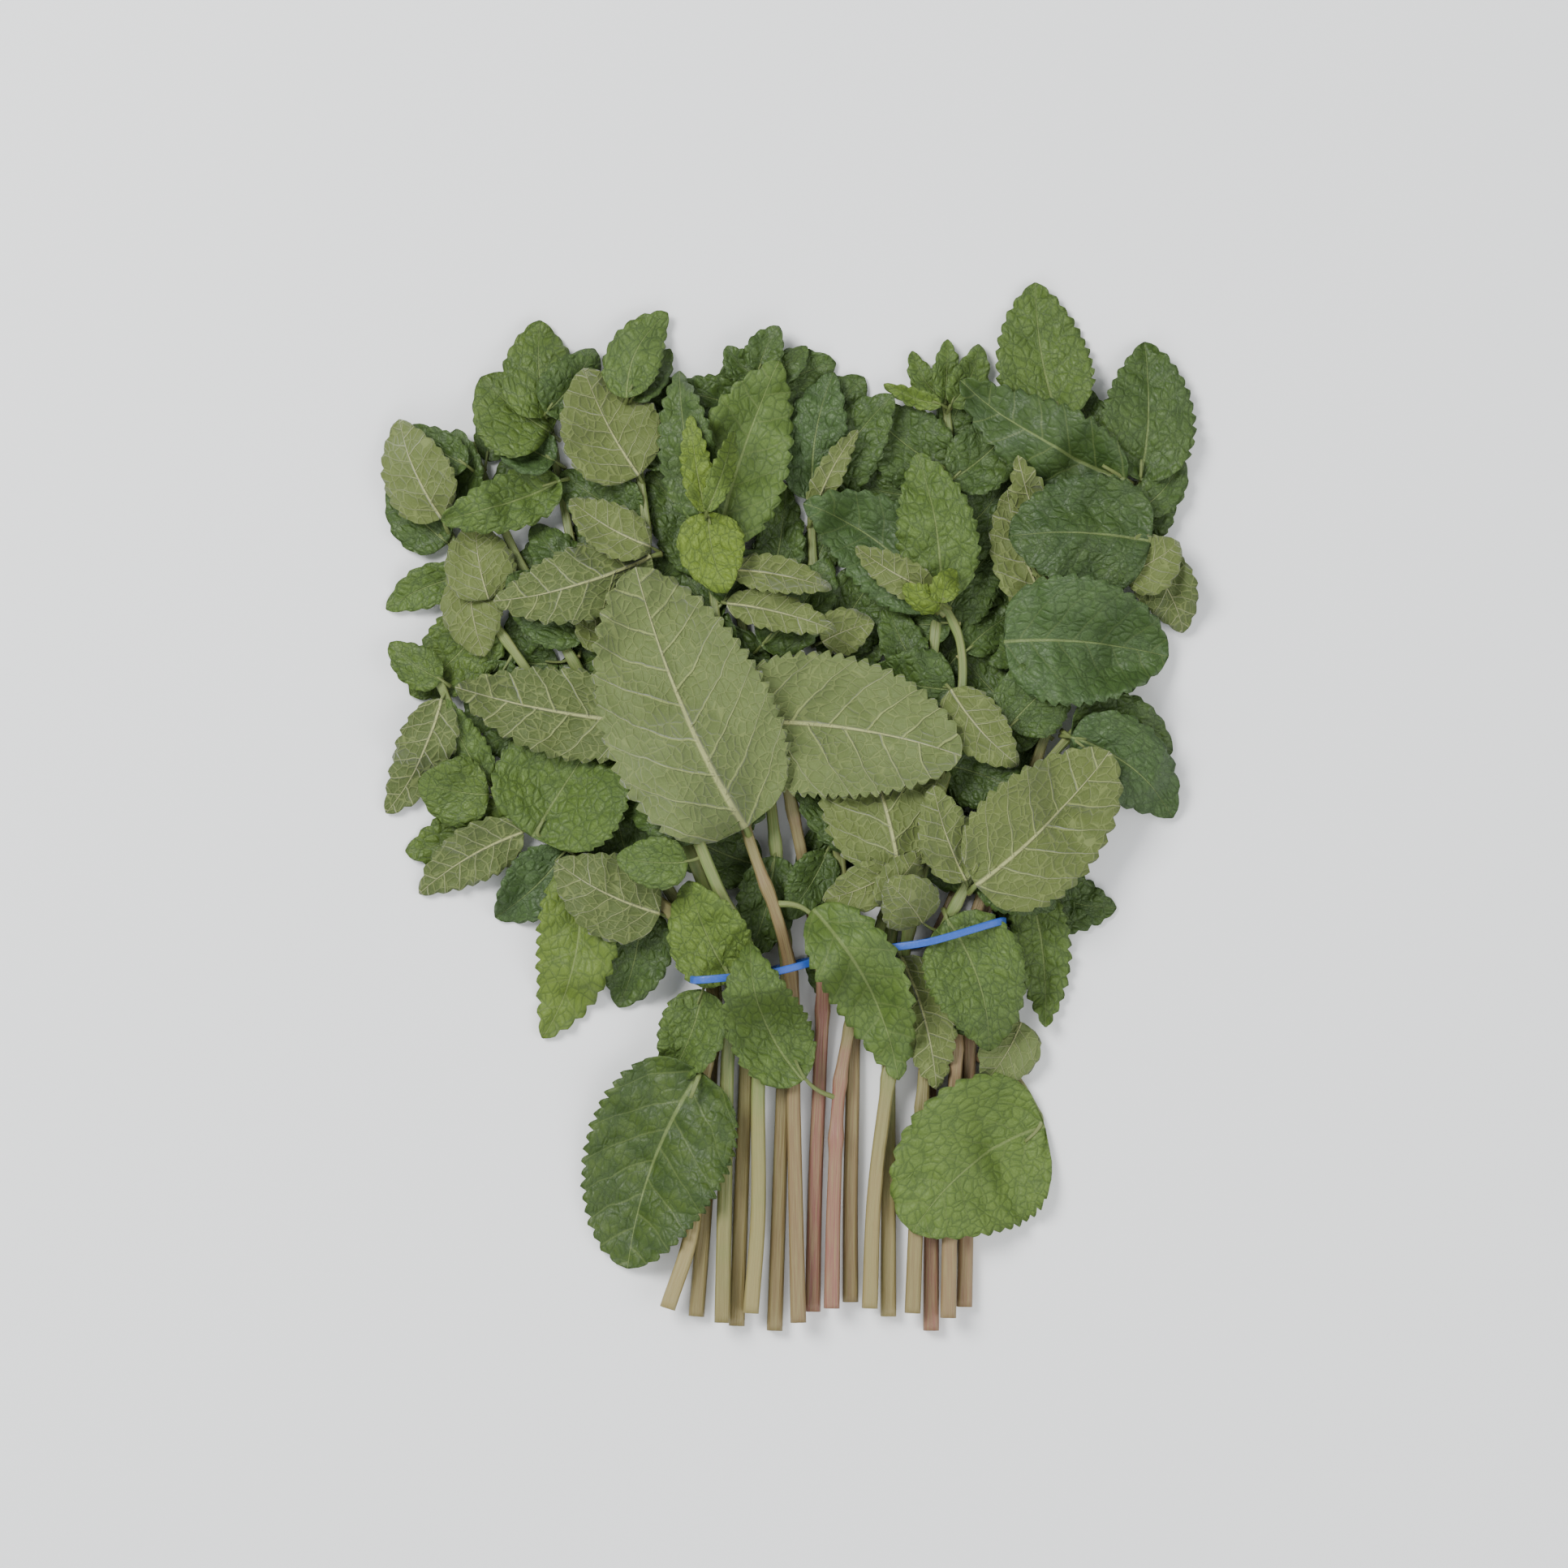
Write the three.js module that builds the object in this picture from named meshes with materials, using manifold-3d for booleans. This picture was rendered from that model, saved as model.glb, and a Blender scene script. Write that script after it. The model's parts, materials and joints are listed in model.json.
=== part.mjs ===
// A bunch of fresh mint: leafy sprigs held together by one rubber band, lying on its back.
// Millimetres, +Z up. Leaf tips point to +Y, the cut stem ends to -Y.
// The origin is under the middle of the bunch, on the surface that it lies on.
import * as THREE from 'three';
import { mergeVertices } from 'three/addons/utils/BufferGeometryUtils.js';
import Module from 'manifold-3d';

const wasm = await Module();
wasm.setup();

// ---------------------------------------------------------------- driving dimensions
const BLADE_THICK = 0.65; // leaf blade
const STEM_FOOT = 3.4; // width of a square stem at its cut end
const STEM_TIP = 1.7; // and at its growing tip
const SHOOT_WIDTH = 1.9; // side shoot, at its root
const STATION = 17; // distance between two stations of a stem
const STATION_STEPS = 8; // places looked at between two stations
const STEM_SAG = 2; // how far a stem sags between two of its stations
const SHOOT_DROP = 6; // most that a side shoot may hang below its root
const SHOOT_TAPER = 0.8; // width of a side shoot's tip, over its root's
const PETIOLE_WIDTH = 1.7; // leaf stalk
const PETIOLE_THICK = 1.4;
const STALK_SHORT = 3; // a blade nearer to its stem than this has no stalk of its own
const STALK_SUNK = 2.1; // how far behind its base such a blade is rooted
const STALK_LONG = 8; // a stalk longer than this is bent once more, near the stem
const STALK_ELBOW = 2.4; // and this far from the stem's middle
const BLADE_NECK = 1.02; // half width of a stalk where its blade begins
const BAND_WIDTH = 1.6; // rubber band, across the strip
const BAND_THICK = 0.9;
const BAND_BULGE = 1.2; // how far the band stands out round the outer stems
const CLEAR = 0.35; // air left between one sprig and the next
const GRIDS = [0.01, 0.012, 0.014, 0.016, 0.018, 0.009, 0.008]; // grids that corners are set on
const CELL = 1; // spacing of the height map
const MAP_HALF_X = 100;
const MAP_HALF_Y = 125;
const CELL_REACH = 0.8; // a face also counts for cells whose middle is this near to it, in cells
const BAND_OWNER = 99; // the band's number in the map of owners
const GROUND_OWNER = 0;
const FLAT = 1e-6; // a plan area, or upright part of a normal, that counts as none
const PLAN_STEPS = 200; // places looked at along a stem that isn't laid yet

const TURN_COST = 5; // millimetres of stalk that a straighter way into the blade is worth
const COVERED_COST = 40; // and that a place on the stem with nothing over it is worth
const BLOCKED_COST = 3; // per millimetre that a stalk would have to climb over another sprig
const STALK_TRIALS = [1.5, 2.5, 3.5]; // distances from the stem at which that climb is looked at
const STALK_CLIMB = 0.4; // slope that a stalk climbs at without cost
const OWN_CROSSING = 0.2; // share of a blade, from its base, that may grow through its own sprig
const SETTLE_PASSES = 60; // rounds in which a laid blade comes to rest, half of a stem's
const SINKING_SHARE = 0.6; // share of the rounds in which it also sinks back towards its form
const SINK_KEEP = 0.9; // what is left of its lift after one round
const GENTLE_PUSH = 0.5; // share of a missing height that is made up in one of those rounds
const ROOT_SHARE = 0.4; // a stem doesn't lift a face whose weight lies more than this at the root
const REST_RADIUS = 5; // a blade's form follows the mean ground within this distance
const STEEPEST = 0.5; // upright part of a normal below which a blade's wall isn't made thicker
const CEILING = 1.6; // most that a corner is lifted above all that lies under its faces
const BLADE_STIFF = 0.8; // how far a lifted corner takes its neighbours along

const LEAF_ROW = 5.5; // spacing of the rows of corners along a blade
const ROWS_FEWEST = 4;
const ROWS_MOST = 10;
const FIRST_ROW = 0.09; // share of the blade at its first row, and from there to its last one
const ROWS_SPAN = 0.83;
const BROAD_LEAF = 24; // a blade at least this wide has two columns on each side of its midrib
const LEAF_WIDEST = 0.38; // where the blade is widest, from its base
const BROAD_TAPER = 0.95; // power of the outline of a broad, blunt leaf
const LEAF_TAPER = 1.22; // and of any other, which has a sharper tip
const TOOTH_OUT = 1.07; // outline factor at a tooth and at the notch beside it
const TOOTH_IN = 0.93;
const TOOTH_LEAN = 0.35; // a tooth leans this share of a row towards the tip
const TOOTH_LAST = 0.985; // but stays this side of the tip
const LEAF_RISE = 0.1; // slope at which a blade leaves its stem
const LEAF_DROOP = 0.018; // and how fast it then bends down, per millimetre
const RUFFLE = 0.035; // height of the wave in a blade's edge, over its width
const RUFFLE_WAVES = 9; // radians of that wave along a blade
const RUFFLE_SHIFT = 2; // and between its two edges

const PAIR_STALK = 4; // leaf pairs placed by rule: length of stalk,
const PAIR_ANGLES = [1.25, 0.5]; // angle to the stem in radians, first and last pair,
const PAIR_TURN = [0.8, 1.15]; // what a draw multiplies it with,
const PAIR_LENGTHS = [1, 0.6]; // length of the first and last pair, over the longest leaf,
const PAIR_GROWTH = [0.85, 1.1]; // what a draw multiplies that with,
const PAIR_WIDTH = 0.58; // width over length,
const PAIR_BEND = 0.06;
const PAIR_CUP = 0.05;

// ---------------------------------------------------------------- the rubber band's route
const BAND_TOP = [
  [-18.6, -34.6], [-9, -35.3], [2, -31.5], [13, -29],
  [18, -28.2], [30, -27], [38, -25.8], [45.2, -22.4],
];
const BAND_LOW = [
  [45.2, -22.8], [30, -27.6], [13, -29.6], [2, -31.8], [-9, -35], [-18.6, -34.6],
];

// ---------------------------------------------------------------- the sprigs
// Two layers, the lower one first: in each the stems lie side by side, with the leaves over them.
// stem: plan route from the cut end to the growing tip. shoots: side shoots that leave it.
// leaves: [base x, base y, tip x, tip y, width, bend, cup, curl, place]
//   bend  sideways bow of the midrib, over its length, positive to the left
//   cup   height of the blade's edges over its width, positive upwards
//   curl  height of the tip over the length, positive upwards
//   place 'below' the own stem; over the stems of its layer 'first', or 'next'; or 'last' of all
// pairs: leaf pairs by rule: first and last place along the stem, count, longest leaf, seed
const LOWER_SPRIGS = [
  { name: 'sprig_01_back_left',
    stem: [
      [-10, -108], [-9, -80], [-8, -50], [-8, -34], [-20, -8], [-36, 18],
      [-50, 42], [-60, 62], [-66, 78],
    ],
    pairs: [0.52, 0.96, 3, 26, 12],
    leaves: [] },
  { name: 'sprig_02_back_middle',
    stem: [[-2, -109], [-1, -80], [0, -50], [0.5, -34], [-2, -5], [-6, 25], [-12, 55], [-17, 82]],
    pairs: [0.5, 0.97, 3, 28, 23],
    leaves: [
      [-14, 50, -29, 72, 16, -0.05, 0.05, 0, 'first'],
      [-2, -9, -8, -31, 13, 0.05, 0.05, 0, 'first'],
    ] },
  { name: 'sprig_03_back_right',
    stem: [
      [31, -109], [31, -80], [30.5, -50], [30.5, -33], [40, -8], [52, 18],
      [62, 42], [68, 64], [70, 82],
    ],
    pairs: [0.5, 0.96, 3, 28, 37],
    leaves: [] },
  { name: 'sprig_04_back_top',
    stem: [
      [22, -106], [22, -80], [22, -55], [22, -33], [25, -5], [30, 22],
      [33, 50], [35, 74], [34, 88],
    ],
    pairs: [0.5, 0.68, 2, 26, 41],
    leaves: [
      [33, 40, 46, 57, 15, 0.05, 0.05, 0, 'first'],
      [34, 56, 48, 72, 15, -0.05, 0.05, 0, 'first'],
      [35, 72, 17, 86, 17, 0.05, 0.06, 0, 'next'],
      [35, 70, 50, 84, 14, -0.05, 0.06, 0, 'next'],
      [34, 87, 27, 97.5, 6, 0.1, 0.1, 0.05, 'next'],
      [34, 87, 34.5, 100, 6, 0, 0.1, 0, 'next'],
      [35, 86, 41, 99, 8, -0.1, 0.1, 0, 'next'],
      [33, 86, 21, 90.5, 4, 0.05, 0.1, 0, 'next'],
    ] },
  { name: 'sprig_05_tall_middle',
    stem: [
      [6, -105], [6.5, -80], [7.5, -55], [8, -34], [5, -15], [0, 10],
      [-4, 40], [-5, 65], [-6, 82], [-5.5, 93],
    ],
    leaves: [
      [-4, 27, -24, 33, 18, -0.05, 0.05, 0, 'first'],
      [-4, 44, 0.5, 69, 11, -0.03, 0.05, 0, 'first'],
      [-6.5, 66, -23, 75, 13, -0.06, 0.05, 0, 'first'],
      [-6, 84, -25, 89, 10, -0.05, 0.05, 0, 'next'],
      [-5.5, 92, -12, 98.5, 7, 0.1, 0.1, 0, 'next'],
      [-5, 92, 4.8, 98.5, 7, -0.1, 0.1, 0, 'next'],
      [-5.5, 93, -1, 102.5, 8, 0.05, 0.1, 0, 'next'],
    ] },
  { name: 'sprig_06_right_tall',
    stem: [
      [38, -104], [38.5, -80], [39, -55], [40, -32], [42.5, -20], [48, -6],
      [56, 20], [64, 42], [72, 58], [74, 70],
    ],
    shoots: [
      [[66, 46], [61, 62], [58, 80]],
      [[39.7, -50], [48, -55], [54, -64]],
    ],
    leaves: [
      [49, -7, 60, -22, 13, 0.05, 0.05, 0, 'first'],
      [55, 17, 37, 34, 20, 0.05, 0.05, 0, 'first'],
      [73, 58, 82.5, 70, 12, 0.05, 0.1, 0, 'next'],
      [75, 64, 84, 75, 9, -0.08, 0.1, 0, 'next'],
      [75, 70, 76, 99.5, 20, -0.04, 0.07, -0.02, 'next'],
      [58, 82, 53, 112, 20, 0.04, 0.06, 0.02, 'next'],
      [72, 70, 37, 91, 17, 0.05, 0.08, 0, 'next'],
      [50, -44, 42, -57, 13, 0.05, 0.05, 0, 'first'],
      [51, -14, 55, -45, 12, 0.05, 0.08, 0, 'next'],
      [55, -66, 27, -88, 33, -0.1, 0.07, 0, 'last'],
    ] },
  { name: 'sprig_07_left_tall',
    stem: [
      [-18.5, -106], [-16.5, -80], [-15.5, -55], [-15, -34], [-25, -15], [-40, 8],
      [-54, 30], [-65, 46], [-71, 60],
    ],
    leaves: [
      [-62, 42, -79, 25, 16, 0.05, 0.05, 0, 'first'],
      [-71, 57, -83, 70, 13, 0.05, 0.05, 0, 'first'],
      [-68, 50, -84, 43, 9, -0.05, 0.08, 0, 'next'],
      [-66, 50, -63, 33, 13, -0.05, 0.15, 0, 'next'],
      [-62, 45, -65, 61.5, 15, 0.04, 0.06, 0, 'next'],
      [-72, 62, -69, 81, 13, -0.06, 0.06, 0, 'first'],
      [-72, 62, -81, 83, 15, 0.05, 0.06, 0, 'next'],
    ] },
  { name: 'sprig_08_middle',
    stem: [
      [14, -103], [14, -80], [14.5, -55], [14.5, -34], [12, -12], [10, 10],
      [8, 35], [6, 55], [6, 66], [8, 78],
    ],
    leaves: [
      [9.5, 33, 22, 53, 16, 0.05, 0.05, 0, 'first'],
      [9, -8, 0, -22, 10, 0.05, 0.05, 0, 'first'],
      [8, 36, 19, 40, 10, 0.05, 0.05, 0, 'next'],
      [7, 66, 23, 88, 15, 0.05, 0.06, 0, 'next'],
      [6, 66, 10.5, 93, 14, 0.06, 0.06, 0, 'next'],
      [6, 62, 15.5, 80.5, 6, 0.05, 0.1, 0, 'next'],
    ] },
];
const UPPER_SPRIGS = [
  { name: 'sprig_09_right',
    stem: [
      [34.5, -106], [35, -80], [36, -55], [37, -32], [42, -15], [46, 8],
      [48, 28], [58, 44], [70, 52], [77, 57],
    ],
    leaves: [
      [47, 18, 61, 30, 16, 0.05, 0.05, 0, 'first'],
      [56, 42, 47, 68, 14, 0.05, 0.05, 0, 'first'],
      [74, 54, 84, 38, 13, 0.1, 0.05, 0, 'first'],
      [71, 50, 83, 57, 13, -0.05, 0.08, 0, 'next'],
      [60, 46, 49, 75, 11, 0.03, 0.08, 0, 'next'],
      [77, 57, 47, 58, 25, -0.04, 0.06, 0, 'next'],
      [46, 36, 81, 33, 27, 0.04, 0.05, -0.02, 'next'],
      [36, -46, 40, -20, 17, -0.1, 0.05, 0, 'next'],
    ] },
  { name: 'sprig_10_middle_right',
    stem: [
      [18, -104], [19, -80], [22, -55], [25, -31], [29, -12], [33, 5],
      [37, 22], [37, 36], [33, 45],
    ],
    leaves: [
      [34, 10, 50, 4, 15, 0.05, 0.05, 0, 'first'],
      [36, 26, 18, 30, 16, 0.05, 0.05, 0, 'first'],
      [35, 26, 49, 10, 12, -0.05, 0.08, 0, 'next'],
      [32, 43, 4, 65, 20, -0.1, 0.06, 0, 'next'],
      [33, 45, 28, 76, 17, -0.04, 0.06, 0, 'next'],
      [32, 46, 15, 56, 8, 0.04, 0.1, 0, 'next'],
      [33, 44, 25, 48, 6, 0.1, 0.15, 0.1, 'next'],
      [33, 44, 36, 51, 6, 0.1, 0.15, 0.1, 'next'],
      [24.5, -30, 32, -58, 13, 0.05, 0.1, 0, 'next'],
    ] },
  { name: 'sprig_11_left_low',
    stem: [
      [-24.5, -104], [-19.5, -88], [-17.5, -60], [-15, -40], [-16.4, -30], [-27, -18],
      [-40, -10], [-52, -3], [-62, 8], [-70, 22], [-75, 34],
    ],
    leaves: [
      [-62, 6, -71, 24, 9, 0.05, 0.1, 0, 'first'],
      [-56, 0, -80, -8, 14, 0.05, 0.05, 0, 'first'],
      [-30, -16, -36, 6, 16, 0.05, 0.05, 0, 'first'],
      [-72, 28, -83, 36, 9, 0.05, 0.1, 0, 'next'],
      [-72, 24, -84, 0, 12, 0.06, 0.1, 0, 'next'],
      [-62, 4, -77, 7, 15, 0.05, 0.08, 0, 'next'],
      [-55, -4, -77, -17, 12, -0.05, 0.08, 0, 'next'],
      [-46, -8, -61, -22, 14, 0.05, 0.12, 0, 'next'],
      [-30, -20, -35, -41, 15, 0.05, 0.06, 0, 'next'],
      [-44, -10, -51, -47.5, 17, 0.1, 0.05, 0, 'next'],
      [-26, -21, -48, -10, 18, 0.05, 0.06, 0, 'next'],
      [-53, -5, -36, 20, 29, 0.02, 0.05, 0, 'next'],
      [-17, -37, -25, -57, 14, 0.05, 0.08, 0, 'next'],
      [-17.5, -54, -33, -96, 30, -0.06, 0.05, 0, 'next'],
    ] },
  { name: 'sprig_12_top_left',
    stem: [
      [-13, -107], [-12.5, -80], [-12, -55], [-11.3, -34], [-18, -12], [-32, 20],
      [-42, 45], [-47, 68], [-50, 84],
    ],
    leaves: [
      [-40, 40, -58, 50, 17, 0.05, 0.05, 0, 'first'],
      [-43, 50, -53, 61, 10, 0.05, 0.08, 0, 'next'],
      [-38, 34, -40, 48.5, 9, 0.05, 0.1, 0, 'next'],
      [-47, 70, -72, 61.5, 12, 0.04, 0.12, 0, 'next'],
      [-48, 74, -62, 83, 11, 0.05, 0.06, 0, 'next'],
      [-49, 80, -64, 92, 20, 0.04, 0.05, 0, 'next'],
      [-50, 83, -51.5, 104, 16, 0.04, 0.06, 0, 'next'],
      [-50, 84, -40, 98, 12, -0.05, 0.08, 0, 'next'],
    ] },
  { name: 'sprig_13_short',
    stem: [[10, -104], [10.5, -80], [12, -55], [17, -33], [22, -18], [24, -6], [23, 6]],
    leaves: [
      [23, -12, 8, -18, 10, 0.05, 0.1, 0, 'next'],
      [21, -20, 29, -8, 9, 0.05, 0.1, 0, 'next'],
      [24, -12, 12, 25, 26, -0.04, 0.05, 0, 'next'],
      [4, -56, -7, -27, 17, 0.1, 0.08, 0, 'last'],
    ] },
  { name: 'sprig_14_right_low',
    stem: [
      [27, -105], [28, -80], [29.5, -55], [31, -31.5], [37.5, -16], [42, -8],
      [50, 4], [58, 14], [64, 20],
    ],
    leaves: [
      [60, 16, 82, 13, 20, 0.05, 0.05, 0, 'first'],
      [60, 16, 82, -1, 18, 0.1, 0.08, 0, 'first'],
      [40, -13, 57, -20, 12, 0.05, 0.08, 0, 'next'],
      [38, -14, 31, 6, 12, 0.04, 0.08, 0, 'next'],
      [29, -23, 21, -14, 13, -0.05, 0.08, 0, 'next'],
      [34, -22, 43, -50, 21, 0.08, 0.06, 0, 'next'],
      [40, -15, 68, 13, 26, -0.04, 0.05, 0, 'next'],
    ] },
  { name: 'sprig_15_upper_left',
    stem: [
      [-7, -105], [-5.5, -85], [-5.5, -60], [-5.5, -34], [-14, -15], [-22, 5],
      [-27, 20], [-29, 45], [-29, 60], [-31, 75], [-33, 88],
    ],
    leaves: [
      [-30, 62, -47, 72, 14, 0.05, 0.05, 0, 'first'],
      [-31, 74, -14, 84, 12, 0.05, 0.05, 0, 'first'],
      [-28, 54, -61, 44.5, 16, 0.05, 0.06, 0, 'next'],
      [-28, 56, -45, 66, 11, 0.05, 0.08, 0, 'next'],
      [-30.5, 71, -42, 93.5, 21, 0.04, 0.06, 0, 'next'],
      [-32, 87, -24, 98, 7, -0.05, 0.1, 0, 'next'],
      [-33, 87, -24.5, 105.5, 12, 0.12, 0.1, 0.03, 'next'],
      [-28, 19, -69, 26.5, 19, 0.03, 0.06, 0, 'next'],
      [-11, -35, -20, -14, 17, 0.04, 0.06, 0, 'next'],
      [-20, -10, -35, -9, 11, 0.04, 0.08, 0, 'next'],
    ] },
  { name: 'sprig_16_hero',
    stem: [
      [3, -107], [2.5, -85], [2, -60], [1.5, -34], [-2, -20], [-5, -12],
      [-8, -3], [-11, 12], [-13, 30], [-15, 48], [-16, 64],
    ],
    leaves: [
      [-11, 2, -34, 2, 15, 0.05, 0.05, 0, 'first'],
      [-9, -1, -33, 13, 10, 0.05, 0.08, 0, 'next'],
      [-12, 44, 11, 38, 8, 0.04, 0.1, 0, 'next'],
      [-11, 51, 10, 47, 8, 0.04, 0.1, 0, 'next'],
      [-11, 19, 37, 12, 30, 0.05, 0.05, 0, 'next'],
      [-8, -3, -31, 51.5, 36, 0.04, 0.045, 0, 'next'],
      [-13, 44, -3, 54, 11, 0.1, 0.1, 0, 'first'],
      [-14, 56, -1, 95, 21, 0.03, 0.06, 0, 'next'],
      [-17, 61, -22, 93, 12, 0.03, 0.1, 0, 'next'],
      [-16, 63, -12, 46, 14, -0.05, 0.12, 0, 'next'],
      [-16.5, 63, -19.5, 83, 6.5, 0.02, 0.12, 0, 'next'],
      [-16, 63, -10.5, 80, 5, -0.03, 0.12, 0, 'next'],
      [6, -20, 24, -56, 17, 0.08, 0.06, 0, 'last'],
    ] },
];

// ---------------------------------------------------------------- small helpers
const clamp = (value, low, high) => Math.min(high, Math.max(low, value));
const mix = (a, b, t) => a + (b - a) * t;

/** A repeatable draw between 0 and 1, for the rule that places the hidden leaf pairs. */
function drawer(seed) {
  let state = seed;
  return () => {
    state = (state * 16807) % 2147483647;
    return state / 2147483647;
  };
}

/** A plan route: a smooth curve through hand-set points, by share of its length. */
function route(points) {
  return new THREE.CatmullRomCurve3(points.map(([x, y]) => new THREE.Vector3(x, y, 0)));
}

// ---------------------------------------------------------------- the height map
// What lies there already: the height of the topmost surface in each cell, and whose it is.
const CELLS_X = Math.round((2 * MAP_HALF_X) / CELL);
const CELLS_Y = Math.round((2 * MAP_HALF_Y) / CELL);
const heights = new Float64Array(CELLS_X * CELLS_Y);
const owners = new Int16Array(CELLS_X * CELLS_Y).fill(-1);
const cellX = (i) => (i + 0.5) * CELL - MAP_HALF_X;
const cellY = (j) => (j + 0.5) * CELL - MAP_HALF_Y;

/** The cells under a plan triangle, each with its three weights and how far its height may vary. */
function cellsUnder(a, b, c) {
  const area = (b.x - a.x) * (c.y - a.y) - (c.x - a.x) * (b.y - a.y);
  if (Math.abs(area) < FLAT) return [];
  const margin = CELL_REACH * CELL;
  const sides = [b.distanceTo(c), c.distanceTo(a), a.distanceTo(b)];
  const slack = sides.map((side) => (margin * side) / Math.abs(area));
  const found = [];
  const firstX = Math.floor((Math.min(a.x, b.x, c.x) - margin + MAP_HALF_X) / CELL);
  const lastX = Math.ceil((Math.max(a.x, b.x, c.x) + margin + MAP_HALF_X) / CELL);
  const firstY = Math.floor((Math.min(a.y, b.y, c.y) - margin + MAP_HALF_Y) / CELL);
  const lastY = Math.ceil((Math.max(a.y, b.y, c.y) + margin + MAP_HALF_Y) / CELL);
  for (let j = Math.max(0, firstY); j <= Math.min(CELLS_Y - 1, lastY); j++) {
    for (let i = Math.max(0, firstX); i <= Math.min(CELLS_X - 1, lastX); i++) {
      const x = cellX(i);
      const y = cellY(j);
      const wb = ((x - a.x) * (c.y - a.y) - (c.x - a.x) * (y - a.y)) / area;
      const wc = ((b.x - a.x) * (y - a.y) - (x - a.x) * (b.y - a.y)) / area;
      const wa = 1 - wb - wc;
      if (wa < -slack[0] || wb < -slack[1] || wc < -slack[2]) continue;
      const weights = [wa, wb, wc].map((w) => clamp(w, 0, 1));
      const sum = weights[0] + weights[1] + weights[2];
      found.push({ cell: j * CELLS_X + i, weights: weights.map((w) => w / sum) });
    }
  }
  return found;
}

/** How much a plane through three points can rise within half a cell. */
function halfCellRise(a, b, c) {
  const normal = new THREE.Vector3().crossVectors(b.clone().sub(a), c.clone().sub(a));
  if (Math.abs(normal.z) < FLAT) return CELL;
  const slope = (Math.abs(normal.x) + Math.abs(normal.y)) / Math.abs(normal.z);
  return Math.min(CELL, (slope * CELL) / 2);
}

/** The mean height of what lies within a radius of a place. */
function groundAt(x, y, radius) {
  let sum = 0;
  let count = 0;
  for (let dy = -radius; dy <= radius; dy += CELL) {
    for (let dx = -radius; dx <= radius; dx += CELL) {
      if (dx * dx + dy * dy > radius * radius) continue;
      const i = clamp(Math.floor((x + dx + MAP_HALF_X) / CELL), 0, CELLS_X - 1);
      const j = clamp(Math.floor((y + dy + MAP_HALF_Y) / CELL), 0, CELLS_Y - 1);
      sum += heights[j * CELLS_X + i];
      count += 1;
    }
  }
  return sum / count;
}

/** The greatest height within a radius of a place. */
function peakAt(x, y, radius) {
  let peak = 0;
  const column = (place) => clamp(Math.floor((place + MAP_HALF_X) / CELL), 0, CELLS_X - 1);
  const row = (place) => clamp(Math.floor((place + MAP_HALF_Y) / CELL), 0, CELLS_Y - 1);
  for (let j = row(y - radius); j <= row(y + radius); j++) {
    for (let i = column(x - radius); i <= column(x + radius); i++) {
      peak = Math.max(peak, heights[j * CELLS_X + i]);
    }
  }
  return peak;
}

function ownerAt(x, y) {
  const i = clamp(Math.floor((x + MAP_HALF_X) / CELL), 0, CELLS_X - 1);
  const j = clamp(Math.floor((y + MAP_HALF_Y) / CELL), 0, CELLS_Y - 1);
  return owners[j * CELLS_X + i];
}

/** Adds a laid surface, given by its top triangles, to the height map. */
function coverWith(triangles, owner) {
  for (const [a, b, c] of triangles) {
    const rise = halfCellRise(a, b, c);
    for (const { cell, weights } of cellsUnder(a, b, c)) {
      const top = weights[0] * a.z + weights[1] * b.z + weights[2] * c.z + rise;
      if (top <= heights[cell]) continue;
      heights[cell] = top;
      owners[cell] = owner;
    }
  }
}

// ---------------------------------------------------------------- leaves
const peakOutline = (LEAF_WIDEST ** LEAF_WIDEST) * ((1 - LEAF_WIDEST) ** (1 - LEAF_WIDEST));

/** Half width of a blade, from 0 to 1, at a share u of its length: egg-shaped with a pointed tip. */
function outline(leaf, u) {
  const body = (u ** LEAF_WIDEST) * ((1 - u) ** (1 - LEAF_WIDEST)) / peakOutline;
  return body ** (leaf.width >= BROAD_LEAF ? BROAD_TAPER : LEAF_TAPER);
}

/** A blade's plan: a point at a share u along it and v across it, from -1 to 1. */
function bladePlan(leaf, u, v) {
  const alongX = leaf.tip[0] - leaf.base[0];
  const alongY = leaf.tip[1] - leaf.base[1];
  const bow = 4 * leaf.bend * u * (1 - u);
  const slope = 4 * leaf.bend * (1 - 2 * u);
  const halfWidth = v * leaf.width * 0.5 * outline(leaf, u);
  const across = halfWidth / (Math.hypot(1, slope) * leaf.length);
  const x = leaf.base[0] + alongX * (u - slope * across) - alongY * (bow + across);
  const y = leaf.base[1] + alongY * (u - slope * across) + alongX * (bow + across);
  return [x, y];
}

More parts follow.
